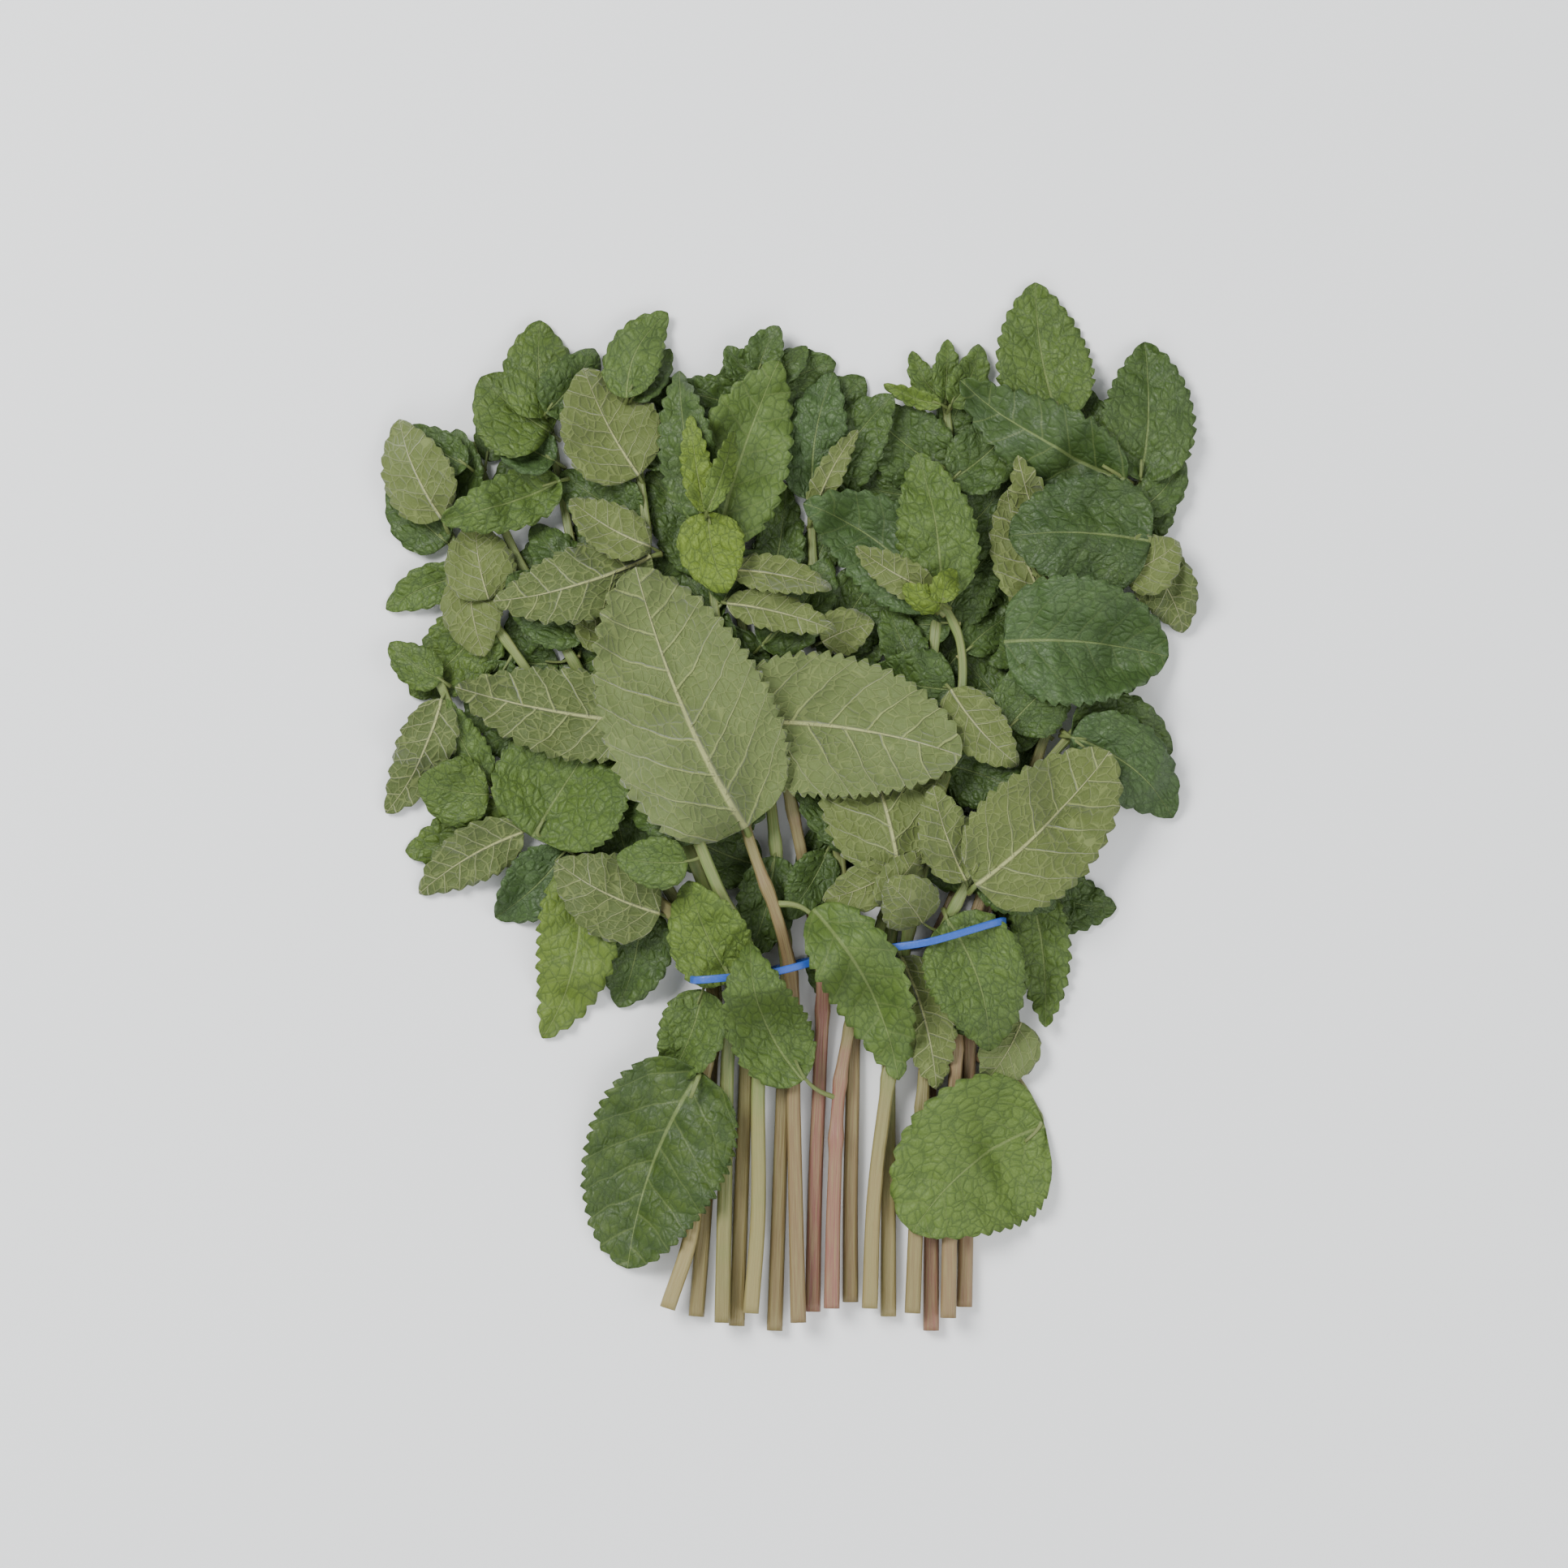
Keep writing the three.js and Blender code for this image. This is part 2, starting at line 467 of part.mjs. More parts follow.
/**
 * A leaf's vertices in plan, from its root inside the stem: the petiole, then the blade's rows, with
 * teeth and notches taking turns along both edges. Each has its place on the blade (u, v), its
 * thickness, and the share of the way from root to blade that it stands at.
 */
function leafGrid(leaf) {
  const rows = clamp(Math.round(leaf.length / LEAF_ROW), ROWS_FEWEST, ROWS_MOST);
  const columns = leaf.width >= BROAD_LEAF ? 2 : 1;
  const across = 2 * columns + 1;
  const base = new THREE.Vector2(...leaf.base);
  const heading = new THREE.Vector2(...leaf.tip).sub(base).normalize();
  const root = new THREE.Vector2(...leaf.root);
  const stalk = base.distanceTo(root);
  if (stalk < STALK_SHORT) root.copy(base).addScaledVector(heading, -STALK_SUNK);
  const leaving = base.clone().sub(root).normalize();
  const turning = leaving.clone().add(heading).normalize();
  const spots = [];
  const addRow = (middle, run, halfWidth, share) => {
    for (let column = 0; column < across; column++) {
      const side = ((columns - column) / columns) * halfWidth;
      const x = middle.x - run.y * side;
      const y = middle.y + run.x * side;
      spots.push({ x, y, u: 0, v: 0, thick: PETIOLE_THICK, share });
    }
  };
  addRow(root, leaving, PETIOLE_WIDTH / 2, 0);
  if (stalk > STALK_LONG) {
    const elbow = STALK_ELBOW / stalk;
    addRow(root.clone().lerp(base, elbow), leaving, PETIOLE_WIDTH / 2, elbow);
  }
  addRow(base, turning, BLADE_NECK, 1);
  const stalkRows = spots.length / across;
  for (let row = 1; row < rows; row++) {
    const u = FIRST_ROW + (ROWS_SPAN * (row - 1)) / (rows - 2);
    const tooth = row % 2 === 0;
    for (let column = 0; column < across; column++) {
      const v = (columns - column) / columns;
      const edge = Math.abs(v) === 1;
      const lean = edge && tooth ? TOOTH_LEAN / rows : 0;
      const reach = edge ? (tooth ? TOOTH_OUT : TOOTH_IN) : 1;
      const [x, y] = bladePlan(leaf, Math.min(u + lean, TOOTH_LAST), v * reach);
      spots.push({ x, y, u, v: v * reach, thick: BLADE_THICK, share: 1 });
    }
  }
  const [tipX, tipY] = leaf.tip;
  spots.push({ x: tipX, y: tipY, u: 1, v: 0, thick: BLADE_THICK, share: 1 });
  const allRows = stalkRows + rows - 1;
  const faces = [];
  for (let row = 0; row < allRows - 1; row++) {
    for (let column = 0; column < across - 1; column++) {
      const here = row * across + column;
      const next = here + across;
      if (column < columns) faces.push([here, here + 1, next + 1], [here, next + 1, next]);
      else faces.push([here, here + 1, next], [here + 1, next + 1, next]);
    }
  }
  const tip = spots.length - 1;
  for (let column = 0; column < across - 1; column++) {
    const here = (allRows - 1) * across + column;
    faces.push([here, here + 1, tip]);
  }
  const rim = [];
  for (let column = 0; column < across; column++) rim.push(column);
  for (let row = 1; row < allRows; row++) rim.push(row * across + across - 1);
  rim.push(tip);
  for (let row = allRows - 1; row > 0; row--) rim.push(row * across);
  return { spots, faces, rim, across };
}

/**
 * Bends a blade over everything under it: it sinks back towards its own form a little, then each
 * corner is lifted until no cell comes through, and so on until it rests.
 */
function settle(points, faces, spots, across, owner) {
  const form = points.map((point) => point.z);
  const covers = faces.map((face) => {
    const cells = cellsUnder(...face.map((k) => points[k]));
    const free = face.map((k) => (k < across ? 0 : 1));
    return cells.filter(({ cell, weights }) => {
      const share = (values) => weights.reduce((sum, w, n) => sum + w * values[n], 0);
      if (owners[cell] === owner && share(face.map((k) => spots[k].u)) < OWN_CROSSING) return false;
      return share(free) > ROOT_SHARE;
    });
  });
  const neighbours = points.map(() => new Set());
  for (const face of faces) {
    for (const k of face) for (const other of face) if (other !== k) neighbours[k].add(other);
  }
  const ceilings = [...form];
  faces.forEach((face, f) => {
    const peak = covers[f].reduce((most, { cell }) => Math.max(most, heights[cell]), 0);
    for (const k of face) ceilings[k] = Math.max(ceilings[k], peak + CEILING);
  });
  for (let pass = 0; pass < SETTLE_PASSES; pass++) {
    const sinking = pass < SETTLE_PASSES * SINKING_SHARE;
    for (let k = across; sinking && k < points.length; k++) {
      let mean = 0;
      for (const other of neighbours[k]) mean += (points[other].z - form[other]) / neighbours[k].size;
      const lift = (points[k].z - form[k]) * SINK_KEEP;
      points[k].z = form[k] + Math.max(lift, BLADE_STIFF * mean);
    }
    for (let f = 0; f < faces.length; f++) {
      const corners = faces[f].map((k) => points[k]);
      const slack = halfCellRise(...corners) * 0.5 + CLEAR;
      let need = 0;
      let weights = null;
      for (const cover of covers[f]) {
        const level = cover.weights.reduce((sum, w, n) => sum + w * corners[n].z, 0);
        const short = heights[cover.cell] + slack - level;
        if (short <= need) continue;
        need = short;
        weights = cover.weights;
      }
      if (!weights) continue;
      const square = weights.reduce((sum, w) => sum + w * w, 0);
      const push = (need * (sinking ? GENTLE_PUSH : 1)) / square;
      faces[f].forEach((k, n) => {
        if (k >= across) points[k].z = Math.min(ceilings[k], points[k].z + push * weights[n]);
      });
    }
  }
}

/** Lays one leaf. rootZ is the height of its stem, or null where the stem isn't laid yet. */
function layLeaf(leaf, rootZ, owner) {
  const { spots, faces, rim, across } = leafGrid(leaf);
  const draw = drawer(Math.round(Math.abs(leaf.base[0] * 31 + leaf.tip[1] * 17) * 10) + 7);
  const phase = draw() * Math.PI * 2;
  const points = spots.map(({ x, y, u, v, share }) => {
    const run = u * leaf.length;
    const ground = groundAt(x, y, REST_RADIUS) + CLEAR;
    const held = rootZ === null ? ground : rootZ + LEAF_RISE * run - LEAF_DROOP * run * run;
    const cup = leaf.cup * leaf.width * v * v * outline(leaf, u);
    const wave = Math.sin(phase + u * RUFFLE_WAVES + (v > 0 ? RUFFLE_SHIFT : 0));
    const ruffle = RUFFLE * leaf.width * v * wave;
    const curl = leaf.curl * leaf.length * u * u;
    if (share === 0 && rootZ !== null) return new THREE.Vector3(x, y, rootZ - PETIOLE_THICK / 2);
    return new THREE.Vector3(x, y, Math.max(ground, held) + cup + ruffle + curl);
  });
  settle(points, faces, spots, across, owner);
  const laid = { leaf, points, faces, rim, spots, across, tops: topsOf(points, faces, spots) };
  const covering = faces.filter((face) => rootZ !== null || Math.min(...face) >= across);
  coverWith(covering.map((face) => face.map((k) => laid.tops[k])), owner);
  return laid;
}

/** The upper face of a leaf: each vertex right above its twin, by the thickness across the blade. */
function topsOf(points, faces, spots) {
  const normals = points.map(() => new THREE.Vector3());
  for (const face of faces) {
    const [a, b, c] = face.map((k) => points[k]);
    const normal = new THREE.Vector3().crossVectors(b.clone().sub(a), c.clone().sub(a));
    for (const k of face) normals[k].add(normal);
  }
  return points.map((point, k) => {
    const upright = clamp(normals[k].normalize().z, STEEPEST, 1);
    return new THREE.Vector3(point.x, point.y, point.z + spots[k].thick / upright);
  });
}

/** Joins a leaf that was laid before its stem to that stem, now that the stem's height is known. */
function raiseRoot(laid, rootZ) {
  for (let k = 0; k < laid.across; k++) laid.points[k].z = rootZ - PETIOLE_THICK / 2;
  laid.tops = topsOf(laid.points, laid.faces, laid.spots);
}

/** A laid leaf as one closed solid: the same triangles on both faces and a wall round the rim. */
function leafSolid({ points, tops, faces, rim }) {
  const count = points.length;
  const triangles = [];
  for (const [a, b, c] of faces) triangles.push([c, b, a], [a + count, b + count, c + count]);
  rim.forEach((k, n) => {
    const next = rim[(n + 1) % rim.length];
    triangles.push([k, next, next + count], [k, next + count, k + count]);
  });
  return solidFrom([...points, ...tops], triangles);
}

// ---------------------------------------------------------------- stems
/** Lays a stem over what is under it: stiff, so it spans the hollows and sags a little. */
function layStem(points, footWidth, tipWidth, startZ, owner) {
  const curve = route(points);
  const length = curve.getLength();
  const count = Math.max(3, Math.round(length / STATION));
  const steps = STATION_STEPS;
  const halfWidth = (s) => mix(footWidth, tipWidth, s) / 2;
  const stations = [];
  for (let k = 0; k <= count; k++) {
    const s = k / count;
    const spot = curve.getPointAt(s);
    stations.push(new THREE.Vector3(spot.x, spot.y, halfWidth(s)));
  }
  if (startZ !== null) {
    for (const spot of stations) spot.z = Math.max(spot.z, startZ - SHOOT_DROP);
    stations[0].z = startZ;
  }
  const needed = [];
  for (let n = 0; n <= count * steps; n++) {
    const k = Math.min(Math.floor(n / steps), count - 1);
    const t = n / steps - k;
    const x = mix(stations[k].x, stations[k + 1].x, t);
    const y = mix(stations[k].y, stations[k + 1].y, t);
    const half = halfWidth(n / (count * steps));
    const skip = startZ !== null && n < steps * ROOT_SHARE;
    const peak = skip ? 0 : peakAt(x, y, half + CLEAR);
    needed.push(peak > 0 ? peak + CLEAR + half : half);
  }
  const rest = stations.map((spot) => spot.z);
  const firstFree = startZ === null ? 0 : 1;
  for (let pass = 0; pass < SETTLE_PASSES * 2; pass++) {
    const sinking = pass < SETTLE_PASSES * 2 * SINKING_SHARE;
    for (let k = firstFree; sinking && k <= count; k++) {
      const lift = (spot) => stations[spot].z - rest[spot];
      const pull = k > 0 && k < count ? (lift(k - 1) + lift(k + 1)) / 2 - STEM_SAG : 0;
      stations[k].z = rest[k] + Math.max(lift(k) * SINK_KEEP, pull);
    }
    for (let k = 0; k < count; k++) {
      let need = 0;
      let t = 0;
      for (let n = k * steps; n <= (k + 1) * steps; n++) {
        const place = n / steps - k;
        const short = needed[n] - mix(stations[k].z, stations[k + 1].z, place);
        if (short <= need) continue;
        need = short;
        t = place;
      }
      const push = (need * (sinking ? GENTLE_PUSH : 1)) / (t * t + (1 - t) * (1 - t));
      if (k >= firstFree) stations[k].z += push * (1 - t);
      stations[k + 1].z += push * t;
    }
  }
  const widths = stations.map((_, k) => 2 * halfWidth(k / count));
  const rod = { curve, stations, widths, owner };
  const corners = rodCorners(rod);
  const triangles = [];
  for (let k = 0; k < count; k++) {
    const [a, b] = [corners[k][2], corners[k][3]];
    const [c, d] = [corners[k + 1][2], corners[k + 1][3]];
    triangles.push([a, b, d], [a, d, c]);
  }
  coverWith(triangles, owner);
  return rod;
}

/** The four corners of a square stem at each station: low right, low left, high left, high right. */
function rodCorners({ stations, widths }) {
  return stations.map((spot, k) => {
    const before = stations[Math.max(0, k - 1)];
    const after = stations[Math.min(stations.length - 1, k + 1)];
    const run = new THREE.Vector2(after.x - before.x, after.y - before.y).normalize();
    const half = widths[k] / 2;
    const side = [run.y * half, -run.x * half];
    return [[1, -1], [-1, -1], [-1, 1], [1, 1]].map(([across, up]) => (
      new THREE.Vector3(spot.x + side[0] * across, spot.y + side[1] * across, spot.z + half * up)
    ));
  });
}

/** A rod of any section, from rings of corners, closed at both ends or joined end to end. */
function ringSolid(rings, closedLoop) {
  const sides = rings[0].length;
  const points = rings.flat();
  const triangles = [];
  const last = closedLoop ? rings.length : rings.length - 1;
  for (let k = 0; k < last; k++) {
    const next = (k + 1) % rings.length;
    for (let n = 0; n < sides; n++) {
      const m = (n + 1) % sides;
      const [a, b, c, d] = [k * sides + n, k * sides + m, next * sides + m, next * sides + n];
      triangles.push([a, b, c], [a, c, d]);
    }
  }
  for (let n = 1; !closedLoop && n < sides - 1; n++) {
    const end = (rings.length - 1) * sides;
    triangles.push([0, n + 1, n], [end, end + n, end + n + 1]);
  }
  return solidFrom(points, triangles);
}

/** A closed mesh as a solid. */
function solidFrom(points, triangles) {
  const mesh = new wasm.Mesh({
    numProp: 3,
    vertProperties: new Float32Array(points.flatMap((point) => [point.x, point.y, point.z])),
    triVerts: new Uint32Array(triangles.flat()),
  });
  return new wasm.Manifold(mesh);
}

// ---------------------------------------------------------------- laying the bunch
/** How far other sprigs stand in the way of a stalk that leaves a stem here for a leaf's base. */
function inTheWay(spot, base, owner) {
  const distance = Math.hypot(base[0] - spot.x, base[1] - spot.y);
  let worst = 0;
  for (const reach of STALK_TRIALS) {
    const x = spot.x + ((base[0] - spot.x) * reach) / Math.max(distance, 0.1);
    const y = spot.y + ((base[1] - spot.y) * reach) / Math.max(distance, 0.1);
    if (ownerAt(x, y) === owner) continue;
    const needed = peakAt(x, y, CELL / 2) + CLEAR + PETIOLE_THICK / 2;
    worst = Math.max(worst, needed - spot.z - STALK_CLIMB * reach);
  }
  return worst;
}

/** The place on a sprig's stems where a leaf with this base grows: near it and not covered. */
function findRoot(rods, { base, tip }, owner) {
  const heading = new THREE.Vector2(tip[0] - base[0], tip[1] - base[1]).normalize();
  let best = null;
  for (const rod of rods) {
    const steps = (rod.stations.length - 1) * STATION_STEPS;
    for (let n = 1; n < steps; n++) {
      const k = Math.floor(n / STATION_STEPS);
      const spot = rod.stations[k].clone().lerp(rod.stations[k + 1], n / STATION_STEPS - k);
      const away = new THREE.Vector2(base[0] - spot.x, base[1] - spot.y);
      let cost = away.length();
      if (best && cost >= best.cost) continue;
      if (cost > STALK_SHORT) cost += TURN_COST * (1 - away.normalize().dot(heading));
      if (owner !== null && ownerAt(spot.x, spot.y) !== owner) cost += COVERED_COST;
      if (owner !== null) cost += BLOCKED_COST * inTheWay(spot, base, owner);
      if (best && cost >= best.cost) continue;
      best = { cost, spot };
    }
  }
  return best;
}

function readLeaf([x0, y0, x1, y1, width, bend, cup, curl, place]) {
  const length = Math.hypot(x1 - x0, y1 - y0);
  return { base: [x0, y0], tip: [x1, y1], length, width, bend, cup, curl, place };
}

/** Leaf pairs by rule: opposite leaves along the stem, smaller towards its growing tip. */
function leafPairs(stem, [first, last, count, longest, seed]) {
  const curve = route(stem);
  const draw = drawer(seed);
  const leaves = [];
  for (let pair = 0; pair < count; pair++) {
    const share = count > 1 ? pair / (count - 1) : 0;
    const spot = curve.getPointAt(mix(first, last, share));
    const heading = curve.getTangentAt(mix(first, last, share));
    for (const side of [1, -1]) {
      const turn = side * mix(...PAIR_ANGLES, share) * mix(...PAIR_TURN, draw());
      const angle = Math.atan2(heading.y, heading.x) + turn;
      const length = longest * mix(...PAIR_LENGTHS, share) * mix(...PAIR_GROWTH, draw());
      const run = [Math.cos(angle), Math.sin(angle)];
      const base = [spot.x + run[0] * PAIR_STALK, spot.y + run[1] * PAIR_STALK];
      const tip = [base[0] + run[0] * length, base[1] + run[1] * length];
      const place = draw() < 0.5 ? 'below' : 'next';
      leaves.push([...base, ...tip, length * PAIR_WIDTH, PAIR_BEND * side, PAIR_CUP, 0, place]);
    }
  }
  return leaves;
}

/** Lays a leaf that grows from a stem already laid. */
function addLeaf(sprig, leaf) {
  const root = findRoot(sprig.rods, leaf, sprig.number);
  leaf.root = [root.spot.x, root.spot.y];
  sprig.solids.push(leafSolid(layLeaf(leaf, root.spot.z, sprig.number)));
}

/** The place on a stem's plan route nearest to a leaf's base. */
function planRoot(curve, { base, tip }) {
  const heading = new THREE.Vector2(tip[0] - base[0], tip[1] - base[1]).normalize();
  let best = null;
  for (let n = 0; n <= PLAN_STEPS; n++) {
    const spot = curve.getPointAt(n / PLAN_STEPS);
    const away = new THREE.Vector2(base[0] - spot.x, base[1] - spot.y);
    let cost = away.length();
    if (cost > STALK_SHORT) cost += TURN_COST * (1 - away.normalize().dot(heading));
    if (!best || cost < best.cost) best = { cost, spot };
  }
  return [best.spot.x, best.spot.y];
}

/** Lays a sprig's stems, with the leaves that lie below them. */
function startSprig({ name, stem, shoots = [], leaves, pairs }, number) {
  const all = [...leaves, ...(pairs ? leafPairs(stem, pairs) : [])].map(readLeaf);
  const sprig = { name, number, leaves: all, rods: [], solids: [] };
  const below = all.filter((leaf) => leaf.place === 'below').map((leaf) => {
    leaf.root = planRoot(route(stem), leaf);
    return layLeaf(leaf, null, number);
  });
  sprig.rods.push(layStem(stem, STEM_FOOT, STEM_TIP, null, number));
  for (const shoot of shoots) {
    const start = findRoot(sprig.rods, { base: shoot[0], tip: shoot[1] }, null);
    const points = [[start.spot.x, start.spot.y], ...shoot.slice(1)];
    sprig.rods.push(layStem(points, SHOOT_WIDTH, SHOOT_WIDTH * SHOOT_TAPER, start.spot.z, number));
  }
  for (const rod of sprig.rods) sprig.solids.push(ringSolid(rodCorners(rod), false));
  for (const laid of below) {
    raiseRoot(laid, findRoot(sprig.rods, { base: laid.leaf.root, tip: laid.leaf.tip }, null).spot.z);
    sprig.solids.push(leafSolid(laid));
  }
  return sprig;
}

function addLeaves(sprig, place) {
  for (const leaf of sprig.leaves) if (leaf.place === place) addLeaf(sprig, leaf);
}

/** Lays one layer: all its stems first, then the leaves over them. */
function layLayer(sprigs, firstNumber) {
  const laid = sprigs.map((sprig, n) => startSprig(sprig, firstNumber + n));
  laid.forEach((sprig) => addLeaves(sprig, 'first'));
  laid.forEach((sprig) => addLeaves(sprig, 'next'));
  return laid;
}

/** One closed body of everything in a sprig; scraps and sealed pockets are dropped. */
function fuse(solids) {
  const largest = (solid) => (
    solid.decompose().reduce((big, piece) => (piece.volume() > big.volume() ? piece : big))
  );
  const whole = largest(wasm.Manifold.union(solids));
  for (const grid of GRIDS) {
    const piece = largest(snapped(largest(snapped(whole, grid)), grid));
    if (edgesPair(piece)) return piece;
  }
  throw new Error('a sprig does not close on any grid');
}

/** The same solid with every corner on a fine grid, so that corners that all but touch are one. */
function snapped(solid, grid) {
  const bare = geometryOf(solid).toNonIndexed();
  const spots = bare.attributes.position.array;
  spots.forEach((value, k) => { spots[k] = Math.round(value / grid) * grid; });
  const welded = mergeVertices(bare, grid / 4);
  return new wasm.Manifold(new wasm.Mesh({
    numProp: 3,
    vertProperties: welded.attributes.position.array,
    triVerts: new Uint32Array(welded.index.array),
  }));
}

/** Whether every edge of a solid has two faces, also where two of its corners share one place. */
function edgesPair(solid) {
  const geometry = mergeVertices(geometryOf(solid), GRIDS.at(-1) / 4);
  const index = geometry.index.array;
  const counts = new Map();
  for (let k = 0; k < index.length; k += 3) {
    for (const [m, n] of [[0, 1], [1, 2], [2, 0]]) {
      const [a, b] = [index[k + m], index[k + n]];
      const edge = `${Math.min(a, b)} ${Math.max(a, b)}`;
      counts.set(edge, (counts.get(edge) ?? 0) + 1);
    }
  }
  return [...counts.values()].every((count) => count === 2);
}

// ---------------------------------------------------------------- the rubber band
/** Marks the band's low run, which everything else lies on. */
function layLowRun() {
  const half = BAND_WIDTH / 2;
  for (let k = 0; k < BAND_LOW.length - 1; k++) {
    const [a, b] = [BAND_LOW[k], BAND_LOW[k + 1]];
    const corner = ([x, y], side) => new THREE.Vector3(x, y + side * half, BAND_THICK);
    coverWith([
      [corner(a, -1), corner(b, -1), corner(b, 1)],
      [corner(a, -1), corner(b, 1), corner(a, 1)],
    ], GROUND_OWNER);
  }
}

/** The band: one taut loop, flat under the stems, round their sides and straight over them. */
function bandSolid() {
  const top = layStem(BAND_TOP, BAND_WIDTH, BAND_WIDTH, null, BAND_OWNER).stations;
  const low = BAND_LOW.map(([x, y]) => new THREE.Vector3(x, y, BAND_THICK / 2));
  const bulge = (from, to, outward) => {
    const middle = from.clone().lerp(to, 0.5);
    return new THREE.Vector3(middle.x + outward, middle.y, middle.z);
  };
  const rightEnd = bulge(top.at(-1), low[0], BAND_BULGE);
  const leftEnd = bulge(low.at(-1), top[0], -BAND_BULGE);
  const core = [...top, rightEnd, ...low, leftEnd];
  const rings = core.map((spot, k) => {
    const before = core[(k + core.length - 1) % core.length];
    const after = core[(k + 1) % core.length];
    const run = after.clone().sub(before).normalize();
    const outward = new THREE.Vector3(-run.z, 0, run.x).normalize().multiplyScalar(BAND_THICK / 2);
    const across = new THREE.Vector3(0, BAND_WIDTH / 2, 0);
    return [[1, -1], [-1, -1], [-1, 1], [1, 1]].map(([out, over]) => (
      spot.clone().addScaledVector(outward, out).addScaledVector(across, over)
    ));
  });
  return ringSolid(rings, true);
}

// ---------------------------------------------------------------- the scene graph
const LEAF_GREEN = new THREE.MeshStandardMaterial({ color: 0x4f6f3a, roughness: 0.6, metalness: 0 });
const BAND_BLUE = new THREE.MeshStandardMaterial({ color: 0x3f73c4, roughness: 0.45, metalness: 0 });

/** A solid's vertices and triangles as a geometry with positions alone. */
function geometryOf(solid) {
  const { vertProperties, triVerts, numProp } = solid.getMesh();
  const geometry = new THREE.BufferGeometry();
  const positions = new Float32Array((vertProperties.length / numProp) * 3);
  for (let k = 0; k < positions.length / 3; k++) {
    for (let axis = 0; axis < 3; axis++) positions[k * 3 + axis] = vertProperties[k * numProp + axis];
  }
  geometry.setAttribute('position', new THREE.BufferAttribute(positions, 3));
  geometry.setIndex(new THREE.BufferAttribute(new Uint32Array(triVerts), 1));
  return geometry;
}

function meshOf(name, solid, material) {
  const geometry = geometryOf(solid);
  geometry.computeVertexNormals();
  const mesh = new THREE.Mesh(geometry, material);
  mesh.name = name;
  return mesh;
}

layLowRun();
const lower = layLayer(LOWER_SPRIGS, 1);
const upper = layLayer(UPPER_SPRIGS, 1 + lower.length);
const sprigs = [...lower, ...upper];
const band = bandSolid();
sprigs.forEach((sprig) => addLeaves(sprig, 'last'));

const bunch = new THREE.Group();
for (const sprig of sprigs) bunch.add(meshOf(sprig.name, fuse(sprig.solids), LEAF_GREEN));
bunch.add(meshOf('rubber_band', band, BAND_BLUE));

const extent = new THREE.Box3().setFromObject(bunch);
const centre = extent.getCenter(new THREE.Vector3());
const onGrid = (value) => Math.round(value / GRIDS[0]) * GRIDS[0];
bunch.position.set(-onGrid(centre.x), -onGrid(centre.y), -onGrid(extent.min.z));

export default bunch;
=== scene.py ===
# %% [markdown]
# # A tied bunch of mint
# A bunch of mint is about sixteen leafy sprigs, gathered by one rubber band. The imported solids
# say where each sprig lies and how its blades bend over what is under them. This lesson dresses
# them: it models a leaf, a stem and a leaf stalk once each, lays copies over every solid, and
# gives them the skin of real mint. Lengths in the tables are millimetres, the scene's are metres.

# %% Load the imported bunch
import bpy
import json
import math
import numpy as np
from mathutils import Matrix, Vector

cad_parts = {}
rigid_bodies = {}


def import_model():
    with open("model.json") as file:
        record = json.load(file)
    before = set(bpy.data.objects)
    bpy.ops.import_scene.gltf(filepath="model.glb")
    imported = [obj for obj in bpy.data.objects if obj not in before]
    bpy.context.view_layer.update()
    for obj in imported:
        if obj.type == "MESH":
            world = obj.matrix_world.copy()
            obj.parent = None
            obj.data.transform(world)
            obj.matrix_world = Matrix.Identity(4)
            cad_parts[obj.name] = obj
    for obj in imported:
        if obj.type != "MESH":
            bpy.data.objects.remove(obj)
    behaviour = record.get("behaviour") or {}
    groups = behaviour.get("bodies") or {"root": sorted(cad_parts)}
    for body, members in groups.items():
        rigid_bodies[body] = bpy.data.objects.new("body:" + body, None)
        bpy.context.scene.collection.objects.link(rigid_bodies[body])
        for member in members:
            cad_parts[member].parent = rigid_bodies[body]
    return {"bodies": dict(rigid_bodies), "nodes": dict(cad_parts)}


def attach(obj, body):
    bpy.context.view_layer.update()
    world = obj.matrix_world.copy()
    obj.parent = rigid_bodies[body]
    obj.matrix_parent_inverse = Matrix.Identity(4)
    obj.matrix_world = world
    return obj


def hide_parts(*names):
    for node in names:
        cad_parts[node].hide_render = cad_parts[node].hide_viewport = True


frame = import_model()
kept = set(frame["nodes"].values()) | set(frame["bodies"].values())
for extra in [o for o in bpy.data.objects if o not in kept]:
    bpy.data.objects.remove(extra)
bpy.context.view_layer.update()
MM = 0.001

# %% [markdown]
# ## Camera
# The bunch is seen from straight above. A long lens from more than a metre away keeps the
# perspective weak, as a product camera on a copy stand does. The lens and the distance together
# decide how much of the table fills the square picture.

# %% Camera straight above
PICTURE_WIDE = 0.3284
BLADES_HIGH = 0.01  # the height at which the picture is that wide
CAMERA_HIGH = 1.2
SENSOR = 36.0
PICTURE_MIDDLE = (-0.0011, 0.0047)
camera_data = bpy.data.cameras.new("copy_stand_camera")
camera_data.sensor_width = SENSOR
camera_data.lens = SENSOR * (CAMERA_HIGH - BLADES_HIGH) / PICTURE_WIDE
camera = bpy.data.objects.new("copy_stand_camera", camera_data)
camera.location = (*PICTURE_MIDDLE, CAMERA_HIGH)
bpy.context.scene.collection.objects.link(camera)
bpy.context.scene.camera = camera
print("lens:", round(camera_data.lens, 1), "mm")

# %% [markdown]
# ## Table and light
# A plain pale table and three soft area lights. The large one stands high on the left, so each
# blade's relief throws a short soft shadow, and the two others keep the shadows open.

